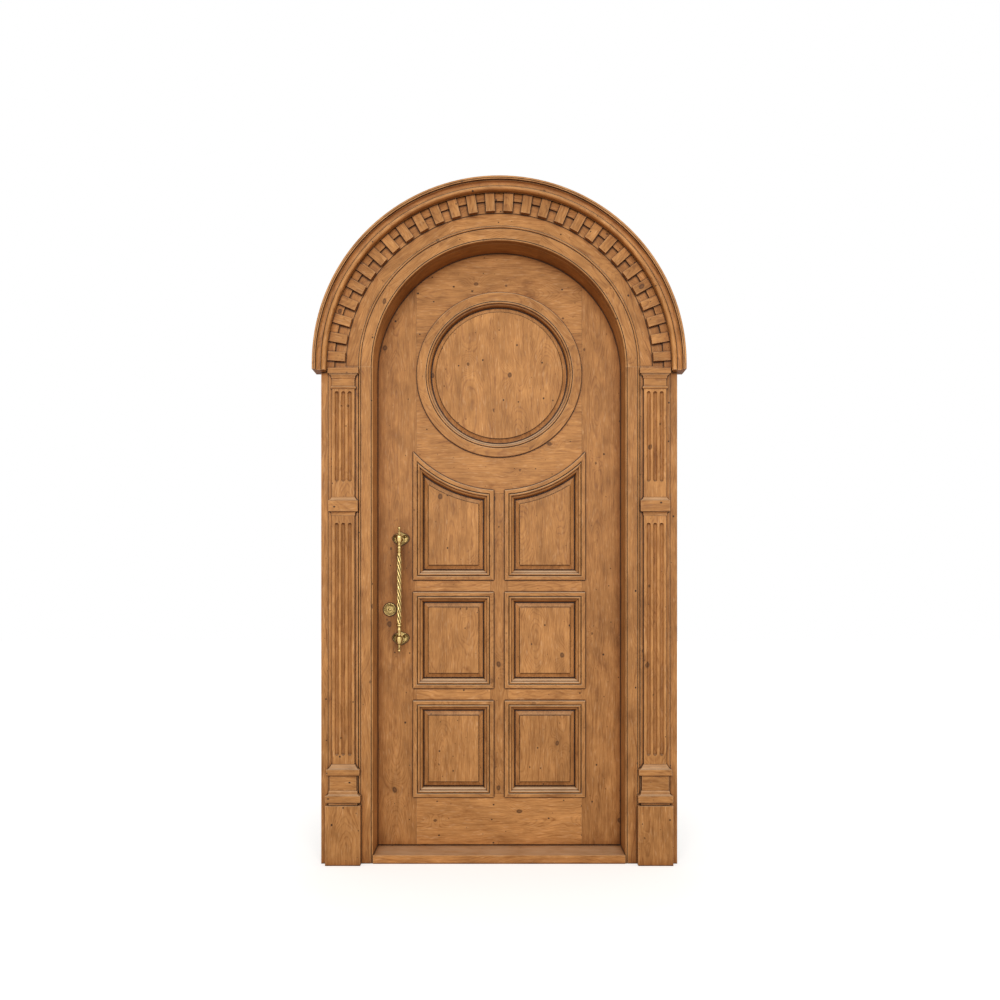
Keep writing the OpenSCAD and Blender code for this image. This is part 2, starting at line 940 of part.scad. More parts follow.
module pull_grip() {
    g = grip_d / 2;
    turns = (rod_top - rod_low) / grip_lead;
    color("#b8995a")
        translate([-pull_x, pull_y, 0])
            union() {
                translate([0, 0, rod_low])
                    linear_extrude(rod_top - rod_low, twist = 360 * turns, slices = 54, segments = 24)
                        polygon([for (i = [0:23])
                            (g - 2.6 + 2.6 * abs(cos(i * 30))) * [cos(i * 15), sin(i * 15)]]);
                translate([0, 0, pull_high])
                    finial(concat([[g, -66], [g, -64], [8, -63]],
                        bulge(-58, 10.5, 9, 8), bulge(-49, 10.5, 8, 8),
                        [[7.25, -44], [7.25, -29], [10, -26], [10, -23], [8, -21]],
                        arc(0, -1, 14, -62, 58, 10),
                        [[7, 13], [4.5, 18], [4, 24]], bulge(31, 7.5, 10, 4), [[3.5, 38]],
                        arc(0, 44, 6.2, -50, 90, 6)));
                translate([0, 0, pull_low])
                    finial(concat(arc(0, -42, 6, -90, 50, 6), [[3.5, -36]], bulge(-30, 6.5, 8, 3.5),
                        [[4, -24], [4.5, -19], [7, -14]],
                        arc(0, 0, 14, -58, 62, 10),
                        [[6, 14], [5, 16], [5, 34], [7, 36]], bulge(46, 8.7, 16, 7),
                        [[7, 55], [9, 57]], bulge(62, 12.5, 8, 9), [[g, 67], [g, 68]]));
                for (z = [pull_low, pull_high])
                    translate([0, 0, z])
                        rotate([-90, 0, 0])
                            rotate_extrude($fn = 48)
                                polygon([[0, 0], [7, 0], [7, pull_p - 26], [9, pull_p - 24],
                                    [9, pull_p - 20], [7, pull_p - 18], [8.5, pull_p - 9], [0, pull_p - 9]]);
            }
}

// A scroll plate: a moulded boss between two volutes that curl back on themselves
module volute() {
    t = 4.5;
    translate([22, 0, 0])
        rotate([90, 0, 0]) {
            translate([0, 3, 0])
                rotate([0, 0, -110])
                    rotate_extrude(angle = 290, $fn = 48)
                        translate([8, 0])
                            square([4.5, t]);
            translate([0, 3, 0])
                cylinder(r = 5, h = t, $fn = 32);
            translate([3, 3, 0])
                translate([0, -2, 0])
                    cube([7, 4, t]);
        }
}

module pull_plates() {
    color("#b8995a")
        for (z = [pull_low, pull_high])
            translate([-pull_x, reveal, z])
                union() {
                    rotate([90, 0, 0])
                        rotate_extrude($fn = 64)
                            polygon(concat([[0, 0], [20, 0], [20, 3]], arc(16, 3, 4, 0, 90, 4),
                                [[13.5, 7], [13.5, 9], [0, 9]]));
                    volute();
                    mirror([1, 0, 0])
                        volute();
                    translate([0, 0, 17])
                        rotate([90, 0, 0])
                            cylinder(r = 6, h = 4.5, $fn = 32);
                    translate([0, 0, -17])
                        rotate([90, 0, 0])
                            cylinder(r = 6, h = 4.5, $fn = 32);
                }
}

module inner_pull() {
    y = depth + 50;
    color("#b8995a")
        union() {
            translate([-pull_x, y, pull_low - 25])
                cylinder(r = 9, h = pull_high - pull_low + 50, $fn = 48);
            for (z = [pull_low - 25, pull_high + 25])
                translate([-pull_x, y, z])
                    sphere(r = 9, $fn = 48);
            for (z = [pull_low, pull_high])
                translate([-pull_x, depth, z])
                    rotate([-90, 0, 0])
                        rotate_extrude($fn = 48)
                            polygon([[0, 0], [19, 0], [19, 3], [16, 6], [8, 8], [7, 12], [7, 50], [0, 50]]);
        }
}

// Key hole: a rose with a pivot pin, and a turned cover that hangs from it
pivot_z = key_z + 19;

module key_rose() {
    color("#a8894a")
        union() {
            difference() {
                translate([-key_x, reveal, key_z])
                    rotate([90, 0, 0])
                        cylinder(r = cover_d / 2 - 1, h = 4, $fn = 64);
                translate([-key_x, reveal - 10, key_z])
                    cylinder_shape(seat);
            }
            translate([-key_x, reveal - 3, pivot_z])
                rotate([90, 0, 0])
                    cylinder(r = 2.4, h = 8, $fn = 32);
            translate([-key_x, reveal - 9.8, pivot_z])
                rotate([90, 0, 0])
                    rotate_extrude($fn = 32)
                        polygon(concat([[0, 0], [4, 0], [4, 0.8]], oval(0, 0.8, 4, 2, 15, 90, 4)));
        }
}

module key_cover() {
    r = cover_d / 2;
    color("#b8995a")
        difference() {
            translate([-key_x, reveal - 4.3, key_z])
                rotate([90, 0, 0])
                    rotate_extrude($fn = 64)
                        polygon(concat([[0, 0], [r, 0]], arc(r - 2.4, 2.6, 2.4, 0, 180, 6),
                            [[r - 4.8, 2.2], [r - 8, 2.2]], arc(r - 10, 2.2, 2, 0, 180, 5),
                            [[r - 12, 2.2], [7, 2.2], [6, 3.2]], oval(0, 3.2, 6, 2, 0, 90, 4)));
            translate([-key_x, reveal, pivot_z])
                rotate([90, 0, 0])
                    cylinder(r = 2.5, h = 20, $fn = 32);
            translate([-key_x, reveal - 6.2, pivot_z])
                rotate([90, 0, 0])
                    cylinder(r = 5, h = 20, $fn = 32);
        }
}

// Mortise lock in the lock stile
module lock_case() {
    color("#9a9a98")
        difference() {
            union() {
                translate([-leaf_r, lock_y - 11, lock_mid - 115])
                    cube([3, 22, 230]);
                translate([-leaf_r + 3 - eps, lock_y - 8, lock_mid - 90])
                    cube([82, 16, 180]);
            }
            translate([-leaf_r + 5, lock_y - 6.5, lock_mid - 88])
                cube([78, 13, 176]);
            translate([-leaf_r - 1, lock_y - 6.4, bolt_z - 12.4])
                cube([10, 12.8, 24.8]);
            translate([-leaf_r - 1, lock_y - 6.4, roller_z - 8.6])
                cube([10, 12.8, 17.2]);
            translate([-key_x, reveal - 10, key_z])
                cylinder_shape(seat);
        }
}

module lock_cylinder() {
    color("#b8995a")
        difference() {
            intersection() {
                translate([-key_x, reveal - 10, key_z])
                    cylinder_shape(0);
                translate([-leaf_r, reveal - 3, key_z - 50])
                    cube([200, leaf_t + 2.7, 100]);
            }
            translate([-key_x - 1.3, reveal - 4, key_z - 4])
                cube([2.6, 20, 8]);
        }
}

module dead_bolt() {
    color("#b9b9b6")
        translate([-leaf_r + 0.3, lock_y - 6, bolt_z - 12])
            cube([52, 12, 24]);
}

module roller_catch() {
    color("#b9b9b6")
        union() {
            translate([-leaf_r + 3.6, lock_y, roller_z - 8])
                cylinder(r = 6, h = 16, $fn = 48);
            translate([-leaf_r + 3.6, lock_y - 5, roller_z - 8])
                cube([36, 10, 16]);
        }
}

module strike_plate() {
    color("#b8995a")
        difference() {
            translate([-hw - rebate - plate_t, lock_y - 11, lock_mid - 115])
                cube([plate_t, 22, 230]);
            translate([-hw - rebate - 10, lock_y - 7, bolt_z - 13])
                cube([20, 14, 26]);
        }
}

module inner_rose() {
    color("#b8995a")
        translate([-key_x, depth, key_z])
            rotate([-90, 0, 0])
                rotate_extrude($fn = 64)
                    polygon(concat([[14.5, 0], [14.5, 5], [20, 5]], arc(22, 2, 4, 70, 0, 4), [[26, 0]]));
}

module thumb_turn() {
    color("#b8995a")
        translate([-key_x, depth, key_z])
            union() {
                rotate([-90, 0, 0])
                    rotate_extrude($fn = 48)
                        polygon([[0, 0.3], [14.2, 0.3], [14.2, 5.5], [8, 9], [6, 16], [0, 16]]);
                translate([-4, 14, 0])
                    rotate([90, 0, 90])
                        linear_extrude(8)
                            union() {
                                translate([0, -12])
                                    square([12, 24]);
                                translate([6, -12])
                                    circle(r = 6, $fn = 32);
                                translate([6, 12])
                                    circle(r = 6, $fn = 32);
                            }
            }
}

left_jamb();
right_jamb();
arch_head();
sill();
left_casing();
right_casing();
arch_fascia();
dentil_band();
dentils();
arch_cornice();
left_plinth();
right_plinth();
left_base();
right_base();
left_lower_shaft();
right_lower_shaft();
left_waist_block();
right_waist_block();
left_upper_shaft();
right_upper_shaft();
left_capital();
right_capital();
strike_plate();
hinge_frame_plates();
hinge_pins();
lock_stile();
hinge_stile();
crown_rail();
roundel_boards();
belly_rail();
muntin();
cross_rails();
bottom_rail();
upper_left_panel();
upper_right_panel();
middle_left_panel();
middle_right_panel();
lower_left_panel();
lower_right_panel();
round_panel();
upper_left_moulding();
upper_right_moulding();
middle_left_moulding();
middle_right_moulding();
lower_left_moulding();
lower_right_moulding();
roundel_ring();
inner_beads();
hinge_leaf_plates();
pull_grip();
pull_plates();
inner_pull();
key_rose();
lock_case();
lock_cylinder();
inner_rose();
key_cover();
dead_bolt();
roller_catch();
thumb_turn();
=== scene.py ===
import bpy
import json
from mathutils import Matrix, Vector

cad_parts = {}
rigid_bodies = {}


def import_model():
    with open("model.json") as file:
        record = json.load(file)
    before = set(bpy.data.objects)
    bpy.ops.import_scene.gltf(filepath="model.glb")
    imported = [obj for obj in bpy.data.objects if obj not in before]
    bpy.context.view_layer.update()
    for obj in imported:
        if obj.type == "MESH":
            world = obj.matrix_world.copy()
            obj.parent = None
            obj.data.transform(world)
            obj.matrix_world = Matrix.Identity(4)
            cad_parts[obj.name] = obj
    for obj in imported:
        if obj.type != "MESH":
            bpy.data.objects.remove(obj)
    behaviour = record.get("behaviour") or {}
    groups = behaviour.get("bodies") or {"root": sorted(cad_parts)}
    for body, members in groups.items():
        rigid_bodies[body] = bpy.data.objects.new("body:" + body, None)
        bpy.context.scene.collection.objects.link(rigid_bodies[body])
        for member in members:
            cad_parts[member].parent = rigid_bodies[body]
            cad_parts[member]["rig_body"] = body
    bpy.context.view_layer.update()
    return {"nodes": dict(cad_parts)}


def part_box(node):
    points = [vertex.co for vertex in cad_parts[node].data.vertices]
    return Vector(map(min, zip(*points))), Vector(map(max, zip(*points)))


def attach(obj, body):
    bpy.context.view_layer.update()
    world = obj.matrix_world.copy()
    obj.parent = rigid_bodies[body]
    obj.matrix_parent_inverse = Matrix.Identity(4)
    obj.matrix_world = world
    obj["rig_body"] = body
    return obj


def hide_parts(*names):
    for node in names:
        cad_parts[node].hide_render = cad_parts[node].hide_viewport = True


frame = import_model()

import json
import random
import zlib
from functools import partial
from math import cos, pi, radians, sin, sqrt, tau

import bmesh
import bpy
import numpy as np
from bpy.props import FloatProperty, FloatVectorProperty, IntProperty, PointerProperty
from bpy.types import Operator, Panel, PropertyGroup
from mathutils import Matrix, Vector

bl_info = {
    "name": "Arched pine door",
    "version": (1, 0, 0),
    "blender": (4, 5, 0),
    "location": "View3D > Sidebar > Door",
    "description": "Dresses the CAD frame of an arched panelled door in waxed pine and aged brass",
    "category": "Object",
}

MM = 0.001
UP, ACROSS, DEEP = (0, 0, 1), (1, 0, 0), (0, 1, 0)
SPRING = Vector((0.0, 0.0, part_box("left_casing")[1].z))  # middle of the arch
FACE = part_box("lock_stile")[0].y  # outer face of the leaf
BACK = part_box("lock_stile")[1].y  # inner face of the leaf
PULL_X = -0.404  # axis of the outer pull and of the inner one
POSTS = (0.882, 1.290)  # heights of the pulls' posts

# arrises that are eased more or less than the settings say
LEAF_ARRIS, DENTIL_ARRIS, PLINTH_ARRIS, SILL_ARRIS = 0.0008, 0.0014, 0.0018, 0.002
WELD = 4e-6  # vertices of the node that lie nearer than this are one
FLAT = radians(0.25)  # faces that differ by less are one
EASED = radians(28)  # outer edges that turn by more are eased
CREASED = radians(32)  # edges that turn by more keep a hard shade
SKIN = 0.0004  # how far under a face the board is looked for


def linear(code):
    """An sRGB hex colour as linear RGBA."""
    parts = [int(code[i:i + 2], 16) / 255 for i in (1, 3, 5)]
    return [c / 12.92 if c <= 0.04045 else ((c + 0.055) / 1.055) ** 2.4 for c in parts] + [1.0]


COLOUR = {"subtype": "COLOR", "size": 4}


class DoorPineSettings(PropertyGroup):
    early_wood: FloatVectorProperty(
        name="Early wood", description="Pale wood between the year rings", **COLOUR, default=linear("#b8814a"))
    late_wood: FloatVectorProperty(
        name="Late wood", description="Dark lines of the year rings", **COLOUR, default=linear("#754317"))
    # a dark colour for old wax, and also for painted shade in corners, quirks and gaps
    grime: FloatVectorProperty(
        name="Old wax", description="Dark wax and dust in the quirks", **COLOUR, default=linear("#26140a"))
    # a pale colour for bare wood on eased edges and in flecks, and also for a painted highlight along the edges
    worn: FloatVectorProperty(
        name="Worn arris", description="Bare wood where edges are rubbed", **COLOUR, default=linear("#d0a274"))
    # a pale colour for dust on what faces up, and also for the painted light that falls from above
    dust: FloatVectorProperty(
        name="Dust", description="Pale dust and wear on what looks up", **COLOUR, default=linear("#caa986"))
    ring_gap: FloatProperty(
        name="Ring spacing", description="Mean width of a year ring", unit="LENGTH", default=0.0055)
    arris: FloatProperty(
        name="Arris", description="Width of the eased edges of the boards", unit="LENGTH", default=0.0011)
    fine_arris: FloatProperty(
        name="Moulding arris", description="Width of the eased edges of the mouldings", unit="LENGTH", default=0.0005)


class DoorBrassSettings(PropertyGroup):
    polish: FloatVectorProperty(
        name="Polished brass", description="Brass where hands keep it bright", **COLOUR, default=linear("#c6ab70"))
    tarnish: FloatVectorProperty(
        name="Tarnish", description="Brown tarnish in the hollows", **COLOUR, default=linear("#46300f"))
    strands: IntProperty(name="Strands", description="Strands of the twisted grip", default=4)
    strand: FloatProperty(
        name="Strand", description="Radius of one strand of the grip", unit="LENGTH", default=0.0036)
    lead: FloatProperty(
        name="Lead", description="Length of one turn of the twist", unit="LENGTH", default=0.112)
    screw_head: FloatProperty(
        name="Screw head", description="Diameter of the screw heads", unit="LENGTH", default=0.0085)


class DoorStageSettings(PropertyGroup):
    eye: FloatVectorProperty(
        name="Eye", description="Place of the camera", subtype="XYZ", unit="LENGTH", default=(0.0, -3.151, 1.076))
    lens: FloatProperty(name="Lens", description="Focal length in millimetres", default=28.39)
    rise: FloatProperty(name="Rise", description="Upward shift of the camera's frame", default=0.092)
    sky: FloatProperty(name="Sky", description="Strength of the even studio light", default=0.42)
    key: FloatProperty(name="Key", description="Power of the large soft lamp", unit="POWER", default=215.0)


VECTOR = "VectorMath"
NOISE = "TexNoise"
RANGE = "MapRange"
MIX = "Mix"
OCCLUSION = "AmbientOcclusion"


def put(tree, kind, inputs=(), ramp=None, **settings):
    """Adds a node, sets it, and links or fills its inputs, in order or by name; ramp gives a colour ramp's stops.

    A kind in capitals is the operation of a math node, and one without the word Node is a shader node.
    """
    if kind.isupper():
        kind, settings["operation"] = "Math", kind
    node = tree.nodes.new(kind if "Node" in kind else "ShaderNode" + kind)
    for name, value in settings.items():
        setattr(node, name, value)
    for name, value in (inputs.items() if isinstance(inputs, dict) else enumerate(inputs)):
        if isinstance(value, bpy.types.Node):
            value = next(socket for socket in value.outputs if socket.enabled)
        if isinstance(value, bpy.types.NodeSocket):
            tree.links.new(value, node.inputs[name])
        else:
            node.inputs[name].default_value = value
    if ramp:
        stops = node.color_ramp.elements
        while len(stops) < len(ramp):
            stops.new(1.0)
        for stop, (place, value) in zip(stops, ramp):
            stop.position = place
            stop.color = (value, value, value, 1.0) if isinstance(value, float) else value
    return node


def scattered(add, place, width, length):
    """One mark in each cell of a board: the place among the cells, the nearest mark, and the mark's lot."""
    cell = add("CombineXYZ", [add("DIVIDE", [place["X"], width]), add("DIVIDE", [place["Z"], length])])
    marks = add("TexVoronoi", {"Vector": cell, "Scale": 1.0}, voronoi_dimensions="2D").outputs
    return cell, marks, add("SeparateColor", [marks["Color"]]).outputs


def pine_grain(add, pine, allowed):
    """Flat-sawn pine on the boards' own grain coordinates: rings round a wandering pith, knots, holes and stains."""
    grain = add("Attribute", attribute_name="grain").outputs["Vector"]
    board = add("Attribute", attribute_name="board").outputs["Fac"]
    place = add("SeparateXYZ", [grain]).outputs
    # the stem wanders by about 8 mm over a third of a metre, and the fibres waver by 3 mm over 70 mm
    bent = grain
    for stretch, scale, detail, swing in ((0.3, 9.0, 2.5, 0.026), (0.45, 30.0, 2.0, 0.011)):
        at = add(VECTOR, [grain, (1.0, 1.0, stretch)], operation="MULTIPLY")
        noise = add(NOISE, {"Vector": at, "Scale": scale, "Detail": detail, "Roughness": 0.5})
        waver = add(VECTOR, [noise.outputs["Color"], (0.5, 0.5, 0.5)], operation="SUBTRACT")
        bent = add(VECTOR, [bent, add(VECTOR, [waver, (swing, swing, 0.0)], operation="MULTIPLY")], operation="ADD")
    stem = add("SeparateXYZ", [bent]).outputs
    # the pith comes nearer and goes away along the board, which gives the pointed figure of flat-sawn wood
    along = add("MULTIPLY_ADD", [board, 61.0, place["Z"]])
    taper = add(NOISE, {"W": along, "Scale": 2.2, "Detail": 1.0}, noise_dimensions="1D")
    depth = add("MULTIPLY_ADD", [taper, 0.11, add("ADD", [stem["Y"], -0.055])])
    # knots of 4 to 16 mm, in somewhat under half of the cells of 150 x 230 mm; the rings bend round them
    cell, knots, lot = scattered(add, place, 0.15, 0.23)
    away = add(VECTOR, [cell, knots["Position"]], operation="SUBTRACT")
    away = add(VECTOR, [away, (0.15, 0.18, 0.0)], operation="MULTIPLY")
    ragged = add(VECTOR, [waver, (0.012, 0.012, 0.0)], operation="MULTIPLY")
    from_knot = add(VECTOR, [add(VECTOR, [away, ragged], operation="ADD")], operation="LENGTH")
    held = add("MULTIPLY", [add("GREATER_THAN", [lot[0], 0.55]), allowed])
    radius = add("MULTIPLY_ADD", [lot[1], 0.0058, 0.0022])
    near = add("DIVIDE", [from_knot, radius])
    reach = add("POWER", [add("MULTIPLY", [near, 0.22]), 2.0])
    bulge = add("EXPONENT", [add("MULTIPLY", [reach, -1.0])])
    bulge = add("MULTIPLY", [bulge, add("MULTIPLY", [held, 0.03])])
    # year rings, with late wood that darkens slowly and ends sharply
    pith = add(VECTOR, [add("CombineXYZ", [stem["X"], depth])], operation="LENGTH")
    from_pith = add("ADD", [pith, bulge])
    years = add(NOISE, {"W": from_pith, "Scale": 70.0, "Detail": 1.0}, noise_dimensions="1D")
    turns = add("DIVIDE", [from_pith, pine.ring_gap])
    ring = add("FRACT", [add("MULTIPLY_ADD", [years, 2.2, turns])])
    late = add("ValToRGB", [ring], ramp=[(0.0, 0.05), (0.5, 0.12), (0.82, 1.0), (0.93, 0.6), (1.0, 0.05)])
    streak, fibre, fleck, mottle, blotch, smudge = (
        add(NOISE, {"Vector": add(VECTOR, [follows, (1.0, 1.0, stretch)], operation="MULTIPLY"),
                    "Scale": scale, "Detail": detail, "Roughness": roughness})
        for follows, stretch, scale, detail, roughness in (
            (bent, 0.12, 90.0, 3.0, 0.55),  # streaks of 11 x 90 mm
            (bent, 0.05, 380.0, 2.0, 0.5),  # fibres of 2.5 x 50 mm, coarser than real ones
            (bent, 0.16, 170.0, 1.5, 0.5),  # pale flecks of 6 x 35 mm
            (grain, 0.45, 24.0, 4.0, 0.6),  # mottling of 40 x 90 mm
            (grain, 0.4, 6.5, 3.0, 0.6),  # blotches of 150 x 380 mm
            (grain, 0.45, 15.0, 6.0, 0.68)))  # smudges of old stain, 30 to 80 mm long
    lines = add("MULTIPLY", [late, add("MULTIPLY_ADD", [streak, 1.5, -0.2])])
    dark = add("MULTIPLY_ADD", [streak, 0.75, -0.15])
    dark = add("MULTIPLY_ADD", [lines, 0.52, dark])
    dark = add("MULTIPLY_ADD", [fibre, 0.6, add("ADD", [dark, -0.25])])
    wood = add(MIX, {0: add("Clamp", [dark]), 6: pine.early_wood, 7: pine.late_wood}, data_type="RGBA")
    wood = add(MIX, {0: add(RANGE, [fleck, 0.58, 0.74, 0.0, 0.28]), 6: wood, 7: pine.worn}, data_type="RGBA")
    # each board has its own tone, and each has paler and darker stretches; what is darker is also redder
    tone = add("MULTIPLY_ADD", [mottle, 0.95, 0.16])
    tone = add("MULTIPLY_ADD", [blotch, 0.65, tone])
    tone = add("MULTIPLY_ADD", [board, 0.12, tone])
    tone = add("CombineXYZ", [tone, add("POWER", [tone, 1.12]), add("POWER", [tone, 1.3])])
    wood = add(VECTOR, [wood, tone], operation="MULTIPLY")
    smudge = add(RANGE, [smudge, 0.58, 0.76, 0.0, 1.0])
    # a knot has a brown heart in a dark ring of bark
    heart = add(RANGE, [near, 1.45, 0.75, 0.0, 0.85], interpolation_type="SMOOTHSTEP")
    heart = add("MULTIPLY", [heart, held])
    bark = add(MIX, {0: add(RANGE, [near, 0.4, 0.95]), 6: linear("#6a4220"), 7: linear("#2c180b")}, data_type="RGBA")
    # pin knots and worm holes of 2 to 7 mm, in a little over half of the cells of 60 x 75 mm
    cell, spots, lot = scattered(add, place, 0.06, 0.075)
    radius = add("MULTIPLY_ADD", [add("POWER", [lot[1], 3.0]), 0.036, 0.018])
    spot = add(RANGE, [add("DIVIDE", [spots["Distance"], radius]), 1.5, 0.8, 0.0, 0.95])
    spot = add("MULTIPLY", [spot, add("GREATER_THAN", [lot[0], 0.45])])
    spot = add("MULTIPLY", [spot, allowed])
    for share, colour, blend in ((smudge, (0.6, 0.5, 0.4, 1.0), "MULTIPLY"), (heart, bark, "MIX"),
                                 (spot, linear("#22120a"), "MIX")):
        wood = add(MIX, {0: share, 6: wood, 7: colour}, data_type="RGBA", blend_type=blend)
    return wood, mottle, lines, fibre, spot


def pine_wear(add, pine, given, up, at, mottle, wood):
    """What use and age lay over the wood, and painted light: old wax with painted shade in corners, painted shade
    below, pale dirt with painted top light above, hand browning with the pull's painted shadow, and bare arrises with
    a painted highlight.
    """
    # painted shade: what faces down is darker and redder, as if shaded from light falling from above
    under = add(RANGE, [up, -0.06, -0.62, 0.0, 1.0])
    # dust on what faces up, uneven with the mottling; it also paints the light that falls from above
    dust = add("MULTIPLY", [add(RANGE, [up, 0.08, 0.6, 0.0, 0.45]), given["Dust"]])
    dust = add("MULTIPLY", [dust, add(RANGE, [mottle, 0.3, 0.7, 0.55, 1.2])], use_clamp=True)
    # painted shade: a warm darkening within 40 mm of a corner, and in the quirks and gaps old wax with painted shade,
    # nearly black
    wide = add(OCCLUSION, {"Distance": 0.04}, samples=6)
    shade = add(RANGE, [wide.outputs["AO"], 0.93, 0.42, 0.0, 1.0])
    close = add(OCCLUSION, {"Distance": given["Reach"]}, samples=8)
    hollow = add(RANGE, [close.outputs["AO"], 0.97, 0.5, 0.0, 1.0])
    hollow = add("MINIMUM", [add("MULTIPLY", [hollow, given["Wax"]]), 0.97])
    # wood browned by hands within about 80 mm of the pull, which also paints the pull's shadow on the leaf
    from_pull = add(VECTOR, [at, (PULL_X, FACE, sum(POSTS) / 2)], operation="SUBTRACT")
    from_pull = add(VECTOR, [from_pull, (1.0 / 0.055, 1.0 / 0.03, 1.0 / 0.25)], operation="MULTIPLY")
    browned = add(RANGE, [add(VECTOR, [from_pull], operation="LENGTH"), 1.45, 0.5, 0.0, 1.0],
                  interpolation_type="SMOOTHSTEP")
    browned = add("MULTIPLY", [browned, given["Hand"]])
    # arrises rubbed bare, more in some stretches than in others; this also paints a highlight along them
    edge = add(OCCLUSION, {"Distance": 0.0035}, samples=6, inside=True)
    rubbed = add("MULTIPLY", [add(RANGE, [edge.outputs["AO"], 0.92, 0.55, 0.0, 1.0]), given["Rub"]])
    rubbed = add("MULTIPLY", [rubbed, add(RANGE, [mottle, 0.3, 0.6, 0.3, 1.0])])
    # the painted shade under things and in corners, the pull's painted shadow, the painted top light and the painted
    # edge highlight are laid on here with the wear
    for share, colour, blend in (
            (under, (0.53, 0.4, 0.26, 1.0), "MULTIPLY"), (dust, pine.dust, "MIX"),
            (shade, (0.68, 0.52, 0.36, 1.0), "MULTIPLY"), (hollow, pine.grime, "MIX"),
            (browned, (0.68, 0.59, 0.47, 1.0), "MULTIPLY"), (rubbed, pine.worn, "MIX")):
        wood = add(MIX, {0: share, 6: wood, 7: colour}, data_type="RGBA", blend_type=blend)
    return wood


def pine_figure(pine):
    """The node group that all pine finishes share; its inputs say how much wear, painted shade and painted highlight
    a piece gets.
    """
    tree = bpy.data.node_groups.new("pine figure", "ShaderNodeTree")
    for name, kind in (("Color", "Color"), ("Roughness", "Float"), ("Height", "Float")):
        tree.interface.new_socket(name, in_out="OUTPUT", socket_type="NodeSocket" + kind)
    for name, value in (("Wax", 1.0), ("Reach", 0.0065), ("Knots", 1.0), ("Dust", 1.0), ("Rub", 0.5), ("Hand", 0.0)):
        tree.interface.new_socket(name, in_out="INPUT", socket_type="NodeSocketFloat").default_value = value
    add = partial(put, tree)
    given = add("NodeGroupInput").outputs
    texture = add("TexCoord").outputs
    normal = add("SeparateXYZ", [texture["Normal"]]).outputs
    # knots and holes show on a board's face and not on its edges
    facing = add("GREATER_THAN", [add("ABSOLUTE", [normal["Y"]]), 0.5])
    allowed = add("MULTIPLY", [facing, given["Knots"]])
    wood, mottle, lines, fibre, spot = pine_grain(add, pine, allowed)
    wood = pine_wear(add, pine, given, normal["Z"], texture["Object"], mottle, wood)
    rough = add(RANGE, [add("MULTIPLY_ADD", [fibre, 0.5, lines]), 0.2, 1.1, 0.6, 0.44])
    height = add("MULTIPLY_ADD", [fibre, 0.6, add("MULTIPLY", [spot, -2.0])])
    height = add("MULTIPLY_ADD", [lines, 0.5, height])
    add("NodeGroupOutput", {"Color": wood, "Roughness": rough, "Height": height})
    return tree


def emptied(owner):
    """Takes the nodes that a material or world starts with out of its tree, and gives put for that tree."""
    owner.use_nodes = True
    owner.node_tree.nodes.clear()
    return partial(put, owner.node_tree)


def waxed_pine(name, figure, wear):
    # Old pine, planed, stained by age and waxed: a satin sheen with the rings standing slightly proud
    material = bpy.data.materials.new(name)
    add = emptied(material)
    wood = add("Group", wear, node_tree=figure).outputs
    bump = add("Bump", {"Strength": 0.35, "Distance": 0.0006, "Height": wood["Height"]})
    surface = add("BsdfPrincipled", {
        "Base Color": wood["Color"], "Roughness": wood["Roughness"], "Normal": bump,
        "IOR": 1.48, "Specular IOR Level": 0.2})
    add("OutputMaterial", {"Surface": surface})
    return material


def aged_brass(name, brass, brown):
    # Cast brass, hand polished and left to tarnish: bright on the high parts, brown in the hollows; the sides get a
    # painted dark reflection, and on brown brass the ridges a painted highlight
    material = bpy.data.materials.new(name)
    add = emptied(material)
    texture = add("TexCoord").outputs
    normal = add("SeparateXYZ", [texture["Normal"]]).outputs
    # painted reflection: brass whose face turns sideways, away from the front, is browner and darker, as if it
    # mirrored dark surroundings; brown sets the even tarnish under it
    flank = add(RANGE, [add("ABSOLUTE", [normal["Y"]]), 0.3, 0.0, brown, brown + 0.35])
    patch = add(NOISE, {"Vector": texture["Object"], "Scale": 120.0, "Detail": 4.0, "Roughness": 0.6})
    scratch = add(NOISE, {"Vector": texture["Object"], "Scale": 900.0, "Detail": 2.0})
    shade = add(OCCLUSION, {"Distance": 0.009}, samples=8)
    hollow = add(RANGE, [shade.outputs["AO"], 0.93, 0.4, 0.0, 1.0])
    stain = add(RANGE, [patch, 0.45, 0.75, 0.0, 0.45])
    dull = add("ADD", [add("ADD", [hollow, stain]), flank])
    # narrow ridges are rubbed bright, which also paints a highlight on them
    ridge = add(OCCLUSION, {"Distance": 0.0016}, samples=8, inside=True)
    bright = add(RANGE, [ridge.outputs["AO"], 0.8, 0.35, 0.0, brown])
    dull = add("SUBTRACT", [dull, bright], use_clamp=True)
    colour = add(MIX, {0: dull, 6: brass.polish, 7: brass.tarnish}, data_type="RGBA")
    rough = add(RANGE, [add("ADD", [dull, scratch]), 0.3, 1.5, 0.26, 0.5])
    bump = add("Bump", {"Strength": 0.15, "Distance": 0.0003, "Height": patch})
    surface = add("BsdfPrincipled", {"Base Color": colour, "Metallic": 1.0, "Roughness": rough, "Normal": bump})
    add("OutputMaterial", {"Surface": surface})
    return material


